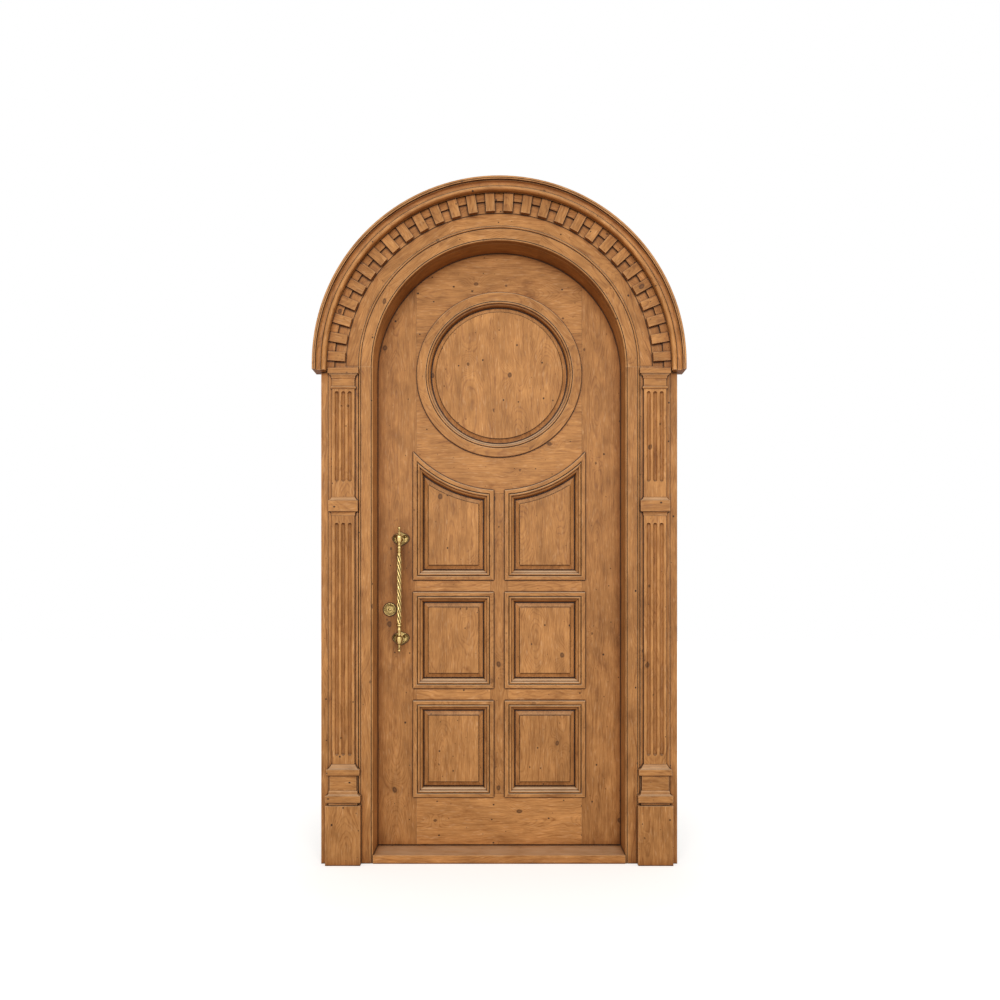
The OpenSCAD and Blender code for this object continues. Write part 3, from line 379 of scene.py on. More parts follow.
def brushed_steel():
    # Mild steel lock parts, brushed along their length and lightly oiled: grey with fine lengthwise scratches
    material = bpy.data.materials.new("lock steel, brushed")
    add = emptied(material)
    place = add("TexCoord").outputs["Object"]
    drawn = add(VECTOR, [place, (1.0, 1.0, 0.03)], operation="MULTIPLY")
    scratch = add(NOISE, {"Vector": drawn, "Scale": 1600.0, "Detail": 3.0})
    smear = add(RANGE, [add(NOISE, {"Vector": place, "Scale": 60.0, "Detail": 3.0}), 0.35, 0.7])
    colour = add(MIX, {0: smear, 6: linear("#b9b8b4"), 7: linear("#8f8b84")}, data_type="RGBA")
    rough = add(RANGE, [scratch, 0.3, 0.7, 0.26, 0.46])
    bump = add("Bump", {"Strength": 0.1, "Distance": 0.0001, "Height": scratch})
    surface = add("BsdfPrincipled", {"Base Color": colour, "Metallic": 1.0, "Roughness": rough, "Normal": bump})
    add("OutputMaterial", {"Surface": surface})
    return material


def placed(name, data):
    """A new object in the scene."""
    piece = bpy.data.objects.new(name, data)
    bpy.context.scene.collection.objects.link(piece)
    return piece


finishes = {}


def boards_of(mesh, cuts):
    """The board that each face belongs to: its solid, and the side of each cut that it lies on."""
    parent = list(range(len(mesh.vertices)))

    def root(i):
        while parent[i] != i:
            parent[i] = parent[parent[i]]
            i = parent[i]
        return i

    for edge in mesh.edges:
        a, b = root(edge.vertices[0]), root(edge.vertices[1])
        if a != b:
            parent[a] = b
    cuts = [(Vector(co), Vector(no)) for co, no in cuts]
    return [(root(face.vertices[0]),) + tuple((face.center - co).dot(no) > 0 for co, no in cuts)
            for face in mesh.polygons]


def long_way(points, deep):
    """The direction in which a board is longest, square to its depth: the grain runs that way."""
    first = next(v for v in map(Vector, (UP, ACROSS, DEEP)) if abs(v.dot(deep)) < 0.5)
    second = deep.cross(first)
    best = None
    for step in range(60):
        angle = radians(3 * step)
        way = first * cos(angle) + second * sin(angle)
        across = points @ np.array(deep.cross(way))
        # upright and level boards are preferred a little
        wide = float(across.max() - across.min()) * (0.93 if step % 30 == 0 else 1.0)
        if best is None or wide < best[0] - 1e-6:
            best = (wide, way)
    return best[1], best[0]


def eased(name, arris, planes, reshape):
    """The node's mesh with its outer edges eased, and its faces split along planes."""
    made = bmesh.new()
    made.from_mesh(frame["nodes"][name].data)
    bmesh.ops.remove_doubles(made, verts=made.verts, dist=WELD)
    for vert in made.verts if reshape else ():
        vert.co = reshape(vert.co)
    bmesh.ops.dissolve_limit(made, angle_limit=FLAT, use_dissolve_boundaries=False,
                             verts=made.verts, edges=made.edges)
    outer = [e for e in made.edges if e.is_manifold and e.calc_face_angle_signed() > EASED]
    bmesh.ops.bevel(made, geom=outer, offset=arris, offset_type="OFFSET", segments=2, profile=0.5,
                    affect="EDGES", clamp_overlap=True, loop_slide=True)
    for co, no in planes:
        bmesh.ops.bisect_plane(made, geom=made.verts[:] + made.edges[:] + made.faces[:], dist=1e-6,
                               plane_co=co, plane_no=no)
    for face in made.faces:
        face.smooth = True
    for edge in made.edges:
        edge.smooth = not (edge.is_manifold and abs(edge.calc_face_angle_signed()) > CREASED)
    mesh = bpy.data.meshes.new(name + "_wood")
    made.to_mesh(mesh)
    made.free()
    return mesh


def figured(mesh, name, keys, deep, way, tone):
    """Gives each board of a mesh its own stretch of grain and its tone, as attributes of the face corners."""
    co = np.empty(len(mesh.vertices) * 3, np.float32)
    mesh.vertices.foreach_get("co", co)
    co = co.reshape(-1, 3)
    numbers = {key: i for i, key in enumerate(sorted(set(keys)))}
    faces_of = {}
    for face, key in zip(mesh.polygons, keys):
        faces_of.setdefault(key, []).append(face)
    grain = np.zeros((len(mesh.loops), 3), np.float32)
    board = np.zeros(len(mesh.loops), np.float32)
    for key, faces in faces_of.items():
        dice = random.Random(zlib.crc32(f"{name} {numbers[key]}".encode()))
        loops = np.array([i for face in faces for i in face.loop_indices])
        points = co[np.array([v for face in faces for v in face.vertices])]
        along, wide = long_way(points, deep) if way is None else (Vector(way), 0.1)
        local = points - (points.max(0) + points.min(0)) / 2
        # where in the stem the board was sawn: aside of the pith by up to half its width, 35 to 85 mm from it
        grain[loops, 0] = local @ np.array(deep.cross(along)) + dice.uniform(-0.5, 0.5) * wide
        grain[loops, 1] = local @ np.array(deep) + dice.uniform(0.035, 0.085)
        grain[loops, 2] = local @ np.array(along) + dice.uniform(2.0, 30.0)
        board[loops] = tone[0] + (tone[1] - tone[0]) * dice.random()
    mesh.attributes.new("grain", "FLOAT_VECTOR", "CORNER").data.foreach_set("vector", grain.ravel())
    mesh.attributes.new("board", "FLOAT", "CORNER").data.foreach_set("value", board)


def joinery(name, finish, arris, cuts=(), deep=DEEP, way=None, strip=None, mitres=(), tone=(0.0, 1.0), reshape=None):
    """A wooden piece in the place of its node.

    It is parted into boards by cuts, or by strip, which numbers the board at a point; mitres only split faces.
    Grain runs along way, or where a board is longest, and deep is the way of its depth; tone is a range.
    """
    node = frame["nodes"][name]
    mesh = eased(name, arris, list(cuts) + list(mitres), reshape)
    keys = boards_of(mesh, cuts)
    if strip:
        keys = [key + (strip(face.center - face.normal * SKIN),) for key, face in zip(keys, mesh.polygons)]
    figured(mesh, name, keys, Vector(deep), way, tone)
    mesh.materials.append(finishes[finish])
    piece = placed(name + "_wood", mesh)
    normals = piece.modifiers.new("Weighted normals", "WEIGHTED_NORMAL")
    normals.keep_sharp = True
    normals.weight = 80
    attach(piece, node["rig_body"])
    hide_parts(name)


def radial_cuts(count, turn=0.0):
    """Planes through the middle of the arch that part it into segments."""
    angles = [pi * k / count + radians(turn) for k in range(1, count)]
    return [(SPRING, Vector((-sin(a), 0.0, cos(a)))) for a in angles]


class DOOR_OT_finishes(Operator):
    """Makes the pine, brass and steel finishes"""
    bl_idname = "door.finishes"
    bl_label = "Finishes"

    def execute(self, context):
        figure = pine_figure(context.scene.door_pine)
        # the wax setting scales old wax and painted shade in quirks and gaps, the dust setting dust and painted top
        # light, the rub setting bare arrises and painted highlight, and the hand setting hand browning and the pull's
        # painted shadow
        for key, work, wear in (
                ("frame", "planed boards of the frame", {"Wax": 1.5, "Dust": 1.5, "Rub": 0.5}),
                ("shaft", "fluted and sunk work", {"Wax": 1.0, "Reach": 0.009, "Dust": 1.2, "Rub": 0.1}),
                ("leaf", "planed boards of the leaf", {"Wax": 1.7, "Rub": 0.1, "Hand": 1.0}),
                ("panel", "raised panels", {"Wax": 4.5, "Rub": 0.0}),
                ("moulding", "run mouldings", {"Wax": 1.0, "Knots": 0.5, "Dust": 2.8, "Rub": 0.9})):
            finishes[key] = waxed_pine("waxed pine, " + work, figure, wear)
        for key, work, brown in (("brass", "polished by hand", 0.0), ("brown_brass", "left to brown", 0.42)):
            finishes[key] = aged_brass("aged brass, cast and " + work, context.scene.door_brass, brown)
        finishes["steel"] = brushed_steel()
        return {"FINISHED"}


class DOOR_OT_lining(Operator):
    """Makes the jambs, the arched head and the sill"""
    bl_idname = "door.lining"
    bl_label = "Jambs, head and sill"

    def execute(self, context):
        arris = context.scene.door_pine.arris
        joinery("left_jamb", "frame", arris, deep=ACROSS, way=UP, tone=(2.2, 2.4))
        joinery("right_jamb", "frame", arris, deep=ACROSS, way=UP, tone=(0.6, 0.8))
        joinery("arch_head", "frame", arris, cuts=radial_cuts(5), tone=(2.0, 2.2))
        joinery("sill", "frame", SILL_ARRIS, deep=UP, way=ACROSS, tone=(2.2, 2.4))
        return {"FINISHED"}


class DOOR_OT_casing(Operator):
    """Makes the casing boards and the arched fascia"""
    bl_idname = "door.casing"
    bl_label = "Casing and fascia"

    def execute(self, context):
        fine = context.scene.door_pine.fine_arris
        joinery("left_casing", "frame", fine, way=UP, tone=(0.8, 1.0))
        joinery("right_casing", "frame", fine, way=UP, tone=(-0.5, -0.3))
        joinery("arch_fascia", "frame", fine, cuts=radial_cuts(5), tone=(0.4, 0.6))
        return {"FINISHED"}


class DOOR_OT_arch_ornament(Operator):
    """Makes the dentil band, the dentils and the cornice"""
    bl_idname = "door.arch_ornament"
    bl_label = "Dentils and cornice"

    def execute(self, context):
        pine = context.scene.door_pine
        joinery("dentil_band", "shaft", pine.fine_arris, cuts=radial_cuts(6))
        joinery("dentils", "frame", DENTIL_ARRIS)
        joinery("arch_cornice", "frame", pine.fine_arris, cuts=radial_cuts(7), tone=(1.6, 2.4))
        return {"FINISHED"}


class DOOR_OT_pilasters(Operator):
    """Makes the plinths, bases, fluted shafts, waist blocks and capitals"""
    bl_idname = "door.pilasters"
    bl_label = "Pilasters"

    def execute(self, context):
        pine = context.scene.door_pine
        for side in ("left", "right"):
            joinery(side + "_plinth", "frame", PLINTH_ARRIS, way=UP)
            joinery(side + "_base", "frame", pine.fine_arris, way=ACROSS)
            joinery(side + "_lower_shaft", "shaft", pine.arris, way=UP, tone=(0.9, 1.5))
            joinery(side + "_waist_block", "frame", pine.fine_arris, way=ACROSS)
            joinery(side + "_upper_shaft", "shaft", pine.arris, way=UP, tone=(0.9, 1.5))
            joinery(side + "_capital", "frame", pine.fine_arris, way=ACROSS)
        return {"FINISHED"}


class DOOR_OT_leaf(Operator):
    """Makes the stiles, rails and muntin of the leaf"""
    bl_idname = "door.leaf"
    bl_label = "Leaf boards"

    def execute(self, context):
        joinery("lock_stile", "leaf", LEAF_ARRIS, way=UP, tone=(0.0, 0.3))
        joinery("hinge_stile", "leaf", LEAF_ARRIS, way=UP, tone=(-0.3, -0.1))
        joinery("muntin", "leaf", LEAF_ARRIS, way=UP)
        for name, tone in (("crown_rail", 0.0), ("belly_rail", 0.9), ("cross_rails", 1.6), ("bottom_rail", 1.7),
                           ("roundel_boards", 0.3)):
            joinery(name, "leaf", LEAF_ARRIS, way=ACROSS, tone=(tone, tone + 0.4))
        return {"FINISHED"}


class DOOR_OT_panels(Operator):
    """Makes the raised panels, each glued up from upright boards"""
    bl_idname = "door.panels"
    bl_label = "Raised panels"

    def execute(self, context):
        arris = context.scene.door_pine.arris
        for side in ("left", "right"):
            # the glue joint of the two boards, as a share of the panel's width
            for row, share in (("upper", 0.68), ("middle", 0.42), ("lower", 0.57)):
                name = f"{row}_{side}_panel"
                low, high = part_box(name)
                x = low.x + (high.x - low.x) * (share if side == "left" else 1.06 - share)
                joinery(name, "panel", arris, cuts=[((x, 0, 0), ACROSS)], way=UP)
        field, less, bevel_front = 0.266, 0.006, 0.101

        def narrowed(p):
            # the round field is made smaller all round than the node's, which widens its bevel
            reach = (p - SPRING).xz.length
            if abs(reach - field) > 0.002 or p.y > bevel_front:
                return p
            share = 1.0 - less / reach
            return Vector((p.x * share, p.y, SPRING.z + (p.z - SPRING.z) * share))

        cuts = [((x, 0, 0), ACROSS) for x in (-0.155, -0.02, 0.128)]
        joinery("round_panel", "panel", arris, cuts=cuts, way=UP, reshape=narrowed)
        return {"FINISHED"}


class DOOR_OT_mouldings(Operator):
    """Makes the mitred panel mouldings, the roundel ring and the beads of the inner face"""
    bl_idname = "door.mouldings"
    bl_label = "Mouldings"

    def execute(self, context):
        fine = context.scene.door_pine.fine_arris
        belly = 0.474  # radius of the upper mouldings' concave edge
        width = 0.04
        for side in ("left", "right"):
            for row in ("upper", "middle", "lower"):
                name = f"{row}_{side}_moulding"
                low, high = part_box(name)

                def strip(p, low=low, high=high, row=row):
                    top = (p - SPRING).xz.length - belly if row == "upper" else high.z - p.z
                    gaps = [p.x - low.x, high.x - p.x, p.z - low.z, top]
                    return gaps.index(min(gaps))

                # each mitre runs from an outer corner to the inner one
                ends = ((low.x, 1), (high.x, -1))
                corners = [(Vector((x, 0, low.z)), Vector((turn, 0, 1))) for x, turn in ends]
                for x, turn in ends:
                    if row == "upper":
                        tip = Vector((x, 0, SPRING.z - sqrt(belly ** 2 - x ** 2)))
                        inner = x + turn * width
                        inner_z = SPRING.z - sqrt((belly + width) ** 2 - inner ** 2)
                        corners.append((tip, Vector((inner - x, 0, inner_z - tip.z))))
                    else:
                        corners.append((Vector((x, 0, high.z)), Vector((turn, 0, -1))))
                mitres = [(corner, Vector((-line.z, 0, line.x))) for corner, line in corners]
                joinery(name, "moulding", fine, strip=strip, mitres=mitres)
        first = 0.38  # where the ring's first joint stands, in radians
        cuts = radial_cuts(4, 22.0) + [(SPRING, Vector((-sin(first), 0.0, cos(first))))]
        joinery("roundel_ring", "moulding", fine, cuts=cuts)
        joinery("inner_beads", "moulding", fine)
        return {"FINISHED"}


def shown(name, finish):
    """A metal CAD node that keeps its own shape."""
    node = frame["nodes"][name]
    node.data.materials.clear()
    node.data.materials.append(finishes[finish])


def grown(name, tree, inputs, points=(), outs=()):
    """The plain mesh that a node tree makes, from points that each carry the direction they face."""
    mesh = bpy.data.meshes.new(name)
    mesh.from_pydata([tuple(p) for p in points], [], [])
    if points:
        mesh.attributes.new("out", "FLOAT_VECTOR", "POINT").data.foreach_set("vector", [c for o in outs for c in o])
    carrier = placed(name, mesh)
    modifier = carrier.modifiers.new(name, "NODES")
    modifier.node_group = tree
    for item in tree.interface.items_tree:
        if item.in_out == "INPUT" and item.name in inputs:
            modifier[item.identifier] = inputs[item.name]
    result = bpy.data.meshes.new_from_object(carrier.evaluated_get(bpy.context.evaluated_depsgraph_get()))
    bpy.data.objects.remove(carrier)
    return result


def new_tree(name, inputs):
    """A geometry tree with named inputs; gives the tree and the sockets of its input node."""
    tree = bpy.data.node_groups.new(name, "GeometryNodeTree")
    tree.is_modifier = True
    tree.interface.new_socket("Geometry", in_out="OUTPUT", socket_type="NodeSocketGeometry")
    tree.interface.new_socket("Geometry", in_out="INPUT", socket_type="NodeSocketGeometry")
    for label, kind in inputs:
        tree.interface.new_socket(label, in_out="INPUT", socket_type="NodeSocket" + kind)
    return tree, put(tree, "NodeGroupInput").outputs


def twist_tree():
    """Round strands wound about one axis, as a smith twists a bundle of rods."""
    tree, given = new_tree("twisted strands", [("Strands", "Int"), ("Turns", "Float"), ("Length", "Float"),
                                               ("Strand", "Float"), ("Winding", "Float"), ("Finish", "Material")])
    add = partial(put, tree)
    path = add("GeometryNodeCurveSpiral", {
        "Resolution": 64, "Rotations": given["Turns"], "Start Radius": given["Winding"],
        "End Radius": given["Winding"], "Height": given["Length"], "Reverse": False})
    rod = add("GeometryNodeCurvePrimitiveCircle", {"Resolution": 20, "Radius": given["Strand"]})
    strand = add("GeometryNodeCurveToMesh", {0: path, "Profile Curve": rod, "Fill Caps": True})
    step = add("DIVIDE", [tau, given["Strands"]])
    turn = add("MULTIPLY", [add("GeometryNodeInputIndex"), step])
    all_round = add("GeometryNodeInstanceOnPoints", {
        "Points": add("GeometryNodePoints", {"Count": given["Strands"]}), "Instance": strand,
        "Rotation": add("FunctionNodeAxisAngleToRotation", {"Axis": UP, "Angle": turn})})
    solid = add("GeometryNodeRealizeInstances", [all_round])
    smooth = add("GeometryNodeSetShadeSmooth", [solid])
    add("NodeGroupOutput", [add("GeometryNodeSetMaterial", {0: smooth, "Material": given["Finish"]})])
    return tree


def screw_tree():
    """Slotted screw heads, each turned by chance about the direction its hole faces."""
    tree, given = new_tree("slotted screws", [("Head", "Float"), ("Seed", "Int"), ("Finish", "Material")])
    add = partial(put, tree)
    radius = add("MULTIPLY", [given["Head"], 0.5])
    sphere = add("GeometryNodeMeshUVSphere", {"Segments": 24, "Rings": 10, "Radius": radius})
    dome = add("GeometryNodeTransform", {0: sphere, "Scale": (1.0, 1.0, 0.36)})
    # the slot's length, width and depth, and the lift of its cutter, are shares of the head's diameter
    size = add(VECTOR, [(1.3, 0.15, 0.2), given["Head"]], operation="MULTIPLY")
    lift = add(VECTOR, [(0.0, 0.0, 0.22), given["Head"]], operation="MULTIPLY")
    saw = add("GeometryNodeTransform", {0: add("GeometryNodeMeshCube", {"Size": size}), "Translation": lift})
    slotted = add("GeometryNodeMeshBoolean", [dome, saw], operation="DIFFERENCE")
    out = add("GeometryNodeInputNamedAttribute", {"Name": "out"}, data_type="FLOAT_VECTOR")
    facing = add("FunctionNodeAlignRotationToVector", {"Vector": out}, axis="Z")
    chance = add("FunctionNodeRandomValue", {2: 0.0, 3: pi, "Seed": given["Seed"]}, data_type="FLOAT")
    spin = add("FunctionNodeAxisAngleToRotation", {"Axis": UP, "Angle": chance.outputs[1]})
    way = add("FunctionNodeRotateRotation", [facing, spin], rotation_space="LOCAL")
    driven = add("GeometryNodeInstanceOnPoints", {0: given["Geometry"], "Instance": slotted, "Rotation": way})
    solid = add("GeometryNodeRealizeInstances", [driven])
    add("NodeGroupOutput", [add("GeometryNodeSetMaterial", {0: solid, "Material": given["Finish"]})])
    return tree


def turned(made, profile, place, along=UP, steps=56):
    """Adds a lathe shape to a mesh: radius and height pairs about an axis; ends at radius 0 close it."""
    spin = Vector(UP).rotation_difference(Vector(along)).to_matrix()
    rings = []
    for r, h in profile:
        angles = [tau * k / steps for k in range(steps if r > 1e-6 else 1)]
        rings.append([made.verts.new(Vector(place) + spin @ Vector((r * cos(a), r * sin(a), h)))
                      for a in angles])
    for low, high in zip(rings, rings[1:]):
        for k in range(steps):
            n = (k + 1) % steps
            ring = [low[k % len(low)], low[n % len(low)], high[n % len(high)], high[k % len(high)]]
            face = list(dict.fromkeys(ring))
            if len(face) > 2:
                made.faces.new(face)


def ball(z, r, a0, a1, steps=12):
    """Part of a ball's profile about height z, between two angles in degrees."""
    angles = [radians(a0 + (a1 - a0) * i / steps) for i in range(steps + 1)]
    return [(r * cos(a), z + r * sin(a)) for a in angles]


def swell(z, r, h, base, steps=10):
    """The profile of a ring of height h about z that swells from a base radius to r."""
    return [(base + (r - base) * sin(pi * i / steps), z - h / 2 + h * i / steps) for i in range(steps + 1)]


def scaled(pairs):
    """Pairs of millimetres in metres."""
    return [(a * MM, b * MM) for a, b in pairs]


def flowing(points, steps=6):
    """A smooth path through points of the plane."""
    knots = [Vector(p) for p in points]
    ends = [knots[0]] + knots + [knots[-1]]
    path = []
    for a, b, c, d in zip(ends, ends[1:], ends[2:], ends[3:]):
        for i in range(steps):
            t = i / steps
            path.append(0.5 * (2 * b + (c - a) * t + (2 * a - 5 * b + 4 * c - d) * t * t
                               + (3 * b - a - 3 * c + d) * t ** 3))
    return path + [knots[-1]]


def ribbon(made, path, widths, heights, y0, steps=10):
    """Adds a half-round band that follows a path in the plane of the door, standing on y0 towards the viewer."""
    rows = []
    for i, p in enumerate(path):
        ahead = (path[min(i + 1, len(path) - 1)] - path[max(i - 1, 0)]).normalized()
        side = Vector((-ahead.y, ahead.x))
        row = []
        for k in range(steps + 1):
            a = pi * k / steps
            q = p + side * widths[i] * cos(a)
            row.append(made.verts.new((q.x, y0 - heights[i] * sin(a), q.y)))
        rows.append(row)
    for low, high in zip(rows, rows[1:]):
        for k in range(steps):
            made.faces.new((low[k], low[k + 1], high[k + 1], high[k]))
        made.faces.new((low[steps], low[0], high[0], high[steps]))
    made.faces.new(rows[0])
    made.faces.new(rows[-1])


def brass_piece(name, made, body, node, finish):
    """Turns the faces of a built mesh outwards, finishes it and puts it in the node's place."""
    bmesh.ops.recalc_face_normals(made, faces=made.faces)
    mesh = bpy.data.meshes.new(name)
    made.to_mesh(mesh)
    made.free()
    mesh.shade_smooth()
    mesh.set_sharp_from_angle(angle=radians(38))
    mesh.materials.clear()
    mesh.materials.append(finishes[finish])
    piece = placed(name, mesh)
    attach(piece, body)
    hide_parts(node)


# Outlines in mm: an urn's radius and height, the right half of a pointed plate, and a scroll that curls in to an eye
URN = flowing([(7, -16.6), (8.8, -14.2), (10.8, -9.6), (12.4, -3.6), (13.4, 2.6), (13.8, 7.6), (13.3, 11.4),
               (11.6, 14.2), (9, 15.8), (7.2, 16.4)], 4)
PLATE = flowing([(0, 33), (4, 29), (12, 25.5), (22, 22), (30, 14.5), (34, 6), (30, -3.5), (19, -13.5), (8, -19.5),
                 (0, -23.5)], 4)
SCROLL = flowing([(3, -21), (9, -17.8), (19, -11.6), (28.5, -2.8), (31.8, 6), (28.6, 13.8), (21.5, 19.6), (13.6, 19),
                  (10.8, 12.6), (14.6, 7.8), (20, 9.2), (20.6, 13)])
EYE = (19.7, 12.6)


def scroll_plate(made, x, z):
    """Adds a pointed plate, the boss of the post on it, and on each side a scroll that runs up its edge."""
    outline = [(p.x, p.y) for p in PLATE] + [(-p.x, p.y) for p in PLATE[-2:0:-1]]
    last = None
    for depth, share in ((-0.2, 1.0), (1.6, 1.0), (2.6, 0.95)):
        ring = [made.verts.new((x + a * share * MM, FACE - depth * MM, z + b * share * MM)) for a, b in outline]
        for k in range(len(ring) if last else 0):
            n = (k + 1) % len(ring)
            made.faces.new((last[k], last[n], ring[n], ring[k]))
        if last is None:
            made.faces.new(ring)
        last = ring
    made.faces.new(last)
    boss = [(0, 0), (14.5, 0), (14.5, 4), (13.6, 5), (11, 5.4), (9.6, 6.8), (0, 7)]
    turned(made, scaled(boss), (x, FACE, z), (0, -1, 0), 40)
    shares = [i / (len(SCROLL) - 1) for i in range(len(SCROLL))]
    widths = [(1.3 + 1.1 * sin(pi * min(1, t * 1.25 + 0.1)) ** 0.8) * MM for t in shares]
    heights = [(4.6 + 2.6 * t) * MM for t in shares]
    button = [(0, 0), (3.4, 0), (3.4, 5)] + ball(5, 3.4, 0, 90, 6)[1:-1] + [(0, 8.4)]
    for sign in (1, -1):
        path = [Vector((x + sign * p.x * MM, z + p.y * MM)) for p in SCROLL]
        ribbon(made, path, widths, heights, FACE)
        turned(made, scaled(button), (x + sign * EYE[0] * MM, FACE, z + EYE[1] * MM), (0, -1, 0), 20)


class DOOR_OT_pull(Operator):
    """Makes the twisted pull with its turned finials and its scroll plates"""
    bl_idname = "door.pull"
    bl_label = "Twisted pull"

    def execute(self, context):
        brass = context.scene.door_brass
        low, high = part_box("pull_grip")
        x = (low.x + high.x) / 2
        y = low.y + 0.014  # the urns reach the node's front
        lower, upper = POSTS
        rod_low, rod_top = 0.949, 1.225
        length = rod_top - rod_low + 0.004  # the strands end inside the necks
        twist = grown("twist", twist_tree(), {
            "Strands": brass.strands, "Turns": length / brass.lead, "Length": length, "Strand": brass.strand,
            "Winding": 0.0095 - brass.strand, "Finish": finishes["brass"]})
        twist.transform(Matrix.Translation((x, y, rod_low - 0.002)))
        made = bmesh.new()
        made.from_mesh(twist)
        core = [(0, rod_low), (0.004, rod_low), (0.004, rod_top), (0, rod_top)]
        turned(made, core, (x, y, 0), steps=16)
        # from the twist up: collar, rings and neck, urn, finial
        urn = [tuple(p) for p in URN]
        upper_end = (
            [(0, -68), (8.4, -68), (9.3, -67), (9.3, -65)] + swell(-60.5, 10, 8, 8.2) + [(7.2, -55.4), (7.2, -53.4)]
            + swell(-48.5, 11.2, 8, 8) + [(7.4, -43.6), (7.2, -40)] + swell(-34, 8.9, 11, 7)
            + [(6.2, -27.6), (6.2, -26.6)] + swell(-23, 8.4, 6, 6.6) + [(6.4, -19.4), (6.4, -17.8)]
            + urn + [(5.8, 18.6), (4.6, 22.6), (3.7, 27), (3.4, 29)]
            + swell(32, 6.2, 5, 4) + [(3.2, 35.6), (2.9, 38)] + ball(44.4, 6.3, -64, 90)[:-1] + [(0, 50.7)])
        turned(made, scaled(upper_end), (x, y, upper))
        # from the lower finial up: urn, neck and collar
        lower_end = (
            [(0, -48.5)] + ball(-42.2, 6.3, -90, 64)[1:] + [(2.9, -35.6), (3.2, -34.4)] + swell(-31, 7.6, 5, 4.4)
            + [(4, -27.4), (4.4, -24)] + swell(-20.5, 6.6, 5, 4.8) + [(5.6, -17.8)]
            + urn + [(6, 17.6), (5.2, 21), (5.2, 27), (5.8, 31.6), (6.6, 33)] + swell(43, 9.2, 17, 6.6)
            + [(6.4, 52.6), (7.4, 54.6), (11, 56), (12.2, 58), (12.2, 61.4), (11, 63.2), (8.8, 64.4), (9.2, 66.4),
               (8.6, 68.2), (0, 69)])
        turned(made, scaled(lower_end), (x, y, lower))
        # each post runs back from the urn's middle, with one ring, to a foot on the leaf
        reach = FACE - y
        ring = [(0.0068 + 0.0026 * sin(pi * i / 8), 0.026 + 0.006 * i / 8) for i in range(1, 9)]
        post = [(0, 0.0), (0.0068, 0.0), (0.0068, 0.026)] + ring + [
            (0.0064, 0.034), (0.0078, reach - 0.012), (0.0095, reach - 0.006), (0.0095, reach + 0.0005),
            (0, reach + 0.0005)]
        for z in POSTS:
            turned(made, post, (x, y, z), DEEP, 40)
        brass_piece("pull", made, "leaf", "pull_grip", "brass")
        made = bmesh.new()
        for z in POSTS:
            scroll_plate(made, x, z)
        brass_piece("scroll_plates", made, "leaf", "pull_plates", "brown_brass")
        return {"FINISHED"}


class DOOR_OT_furniture(Operator):
    """Finishes the hinges, the lock and the inner pull"""
    bl_idname = "door.furniture"
    bl_label = "Hinges, lock and inner pull"

    def execute(self, context):
        for finish, names in (
                ("brass", ("hinge_frame_plates", "hinge_leaf_plates", "hinge_pins", "inner_pull", "lock_cylinder",
                           "inner_rose", "thumb_turn", "strike_plate")),
                ("brown_brass", ("key_rose", "key_cover")),
                ("steel", ("lock_case", "dead_bolt", "roller_catch"))):
            for name in names:
                shown(name, finish)
        return {"FINISHED"}


class DOOR_OT_screws(Operator):
    """Drives the screws of the hinges, the lock plates and the inner roses"""
    bl_idname = "door.screws"
    bl_label = "Screws"

    def execute(self, context):
        brass = context.scene.door_brass
        tree = screw_tree()
        places = {"frame": [], "leaf": []}
        jamb, edge = 0.513, 0.510  # faces of the plates on the frame and on the leaf
        sunk = 0.0009  # how far a screw's middle lies under its plate's face
        for body, x, sign in (("frame", jamb, -1), ("leaf", edge, 1)):
            for hinge in (0.25, 0.78333, 1.31667, 1.85):
                for y, dz in ((0.122, -0.037), (0.134, -0.013), (0.122, 0.013), (0.134, 0.037)):
                    places[body].append(((x - sign * sunk, y, hinge + dz), (sign, 0, 0)))
        for body, x, sign in (("leaf", -edge, -1), ("frame", -jamb, 1)):
            for z in (0.946, 1.154):
                places[body].append(((x - sign * sunk, 0.1195, z), (sign, 0, 0)))
        circle, rose = 0.0128, 0.0062  # radius of the screws' circle on an inner rose, and height on it
        for z in POSTS:
            for a in map(radians, (90, 210, 330)):
                places["leaf"].append((
                    (PULL_X + circle * cos(a), BACK + rose, z + circle * sin(a)), DEEP))
        for body, spots in places.items():
            mesh = grown(body + "_screws", tree, {"Head": brass.screw_head, "Seed": 7, "Finish": finishes["brass"]},
                         [p for p, o in spots], [o for p, o in spots])
            piece = placed(body + "_screws", mesh)
            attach(piece, body)
        return {"FINISHED"}


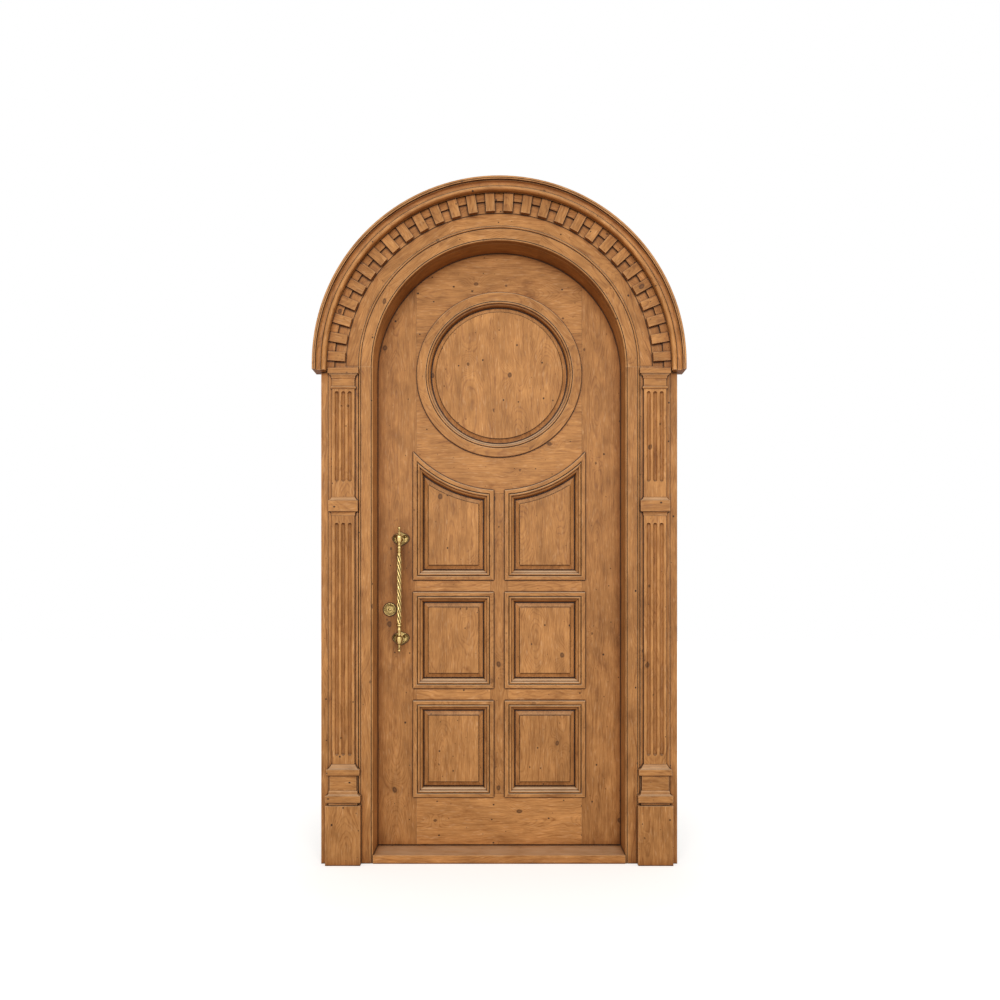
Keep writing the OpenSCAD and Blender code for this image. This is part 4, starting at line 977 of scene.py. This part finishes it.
class DOOR_OT_stage(Operator):
    """Sets up the floor, the light and the camera"""
    bl_idname = "door.stage"
    bl_label = "Stage"

    def execute(self, context):
        scene = context.scene
        stage = scene.door_stage
        scene.view_settings.view_transform = "Standard"
        white = (1.0, 1.0, 1.0, 1.0)
        # World: an even studio light, seen as plain white
        scene.world = bpy.data.worlds.new("studio")
        add = emptied(scene.world)
        ray = add("LightPath").outputs
        seen = add("MAXIMUM", [ray["Is Camera Ray"], ray["Is Glossy Ray"]])
        seen = add("MAXIMUM", [seen, ray["Is Transmission Ray"]])
        power = add(RANGE, {0: seen, 3: stage.sky, 4: 1.0})
        add("OutputWorld", [add("Background", {"Color": white, "Strength": power})])
        # Floor: pale, matt, and white to the eye outside the object's shadow
        half = 14
        mesh = bpy.data.meshes.new("floor")
        mesh.from_pydata([(-half, -half, 0), (half, -half, 0), (half, half, 0), (-half, half, 0)], [], [(0, 1, 2, 3)])
        floor = placed("floor", mesh)
        paint = bpy.data.materials.new("matt white floor paint")
        add = emptied(paint)
        ray = add("LightPath").outputs
        seen = add("MAXIMUM", [ray["Is Camera Ray"], ray["Is Glossy Ray"]])
        # the glow is weaker near the door, where its shadow lies, and full from 2.2 m on
        reach = add(VECTOR, [add("TexCoord").outputs["Object"]], operation="LENGTH")
        share = add(RANGE, [reach, 0.7, 2.2, 0.5, 0.85])
        glow = add("Emission", {"Color": white, "Strength": add("MULTIPLY", [seen, share])})
        matt = add("BsdfDiffuse", {"Color": linear("#e6e4e0")})
        add("OutputMaterial", [add("AddShader", [matt, glow])])
        mesh.materials.append(paint)
        # One large soft lamp in front, above the arch, turned to the middle of the door
        lamp = bpy.data.lights.new("key", "AREA")
        lamp.shape = "RECTANGLE"
        lamp.size, lamp.size_y = 4.4, 2.2
        lamp.energy = stage.key
        key = placed("key", lamp)
        middle = Vector((0.0, 0.0, 1.3))
        key.location = (0.0, -5.0, 2.6)
        key.rotation_euler = (middle - key.location).to_track_quat("-Z", "Y").to_euler()
        # Camera at the photograph's view: level, with a raised frame
        lens = bpy.data.cameras.new("camera")
        lens.sensor_width = 36.0
        lens.lens = stage.lens
        lens.shift_x = 0.0008
        lens.shift_y = stage.rise
        camera = placed("camera", lens)
        camera.location = stage.eye
        camera.rotation_euler = (radians(90), 0.0, 0.0)
        scene.camera = camera
        return {"FINISHED"}


STEPS = [DOOR_OT_finishes, DOOR_OT_lining, DOOR_OT_casing, DOOR_OT_arch_ornament, DOOR_OT_pilasters, DOOR_OT_leaf,
         DOOR_OT_panels, DOOR_OT_mouldings, DOOR_OT_pull, DOOR_OT_furniture, DOOR_OT_screws, DOOR_OT_stage]
GROUPS = {"door_pine": DoorPineSettings, "door_brass": DoorBrassSettings, "door_stage": DoorStageSettings}


class DOOR_PT_pieces(Panel):
    """Lists the door's pieces in the sidebar"""
    bl_idname = "DOOR_PT_pieces"
    bl_label = "Arched pine door"
    bl_space_type = "VIEW_3D"
    bl_region_type = "UI"
    bl_category = "Door"

    def draw(self, context):
        for step in STEPS:
            self.layout.operator(step.bl_idname)
        for place, group in GROUPS.items():
            for name in group.__annotations__:
                self.layout.prop(getattr(context.scene, place), name)


CLASSES = [*GROUPS.values(), *STEPS, DOOR_PT_pieces]


def register():
    for cls in CLASSES:
        bpy.utils.register_class(cls)
    for place, group in GROUPS.items():
        setattr(bpy.types.Scene, place, PointerProperty(type=group))


def unregister():
    for place in GROUPS:
        delattr(bpy.types.Scene, place)
    for cls in reversed(CLASSES):
        bpy.utils.unregister_class(cls)


def main():
    register()
    for step in STEPS:
        group, name = step.bl_idname.split(".")
        getattr(getattr(bpy.ops, group), name)()


if __name__ == "__main__":
    main()
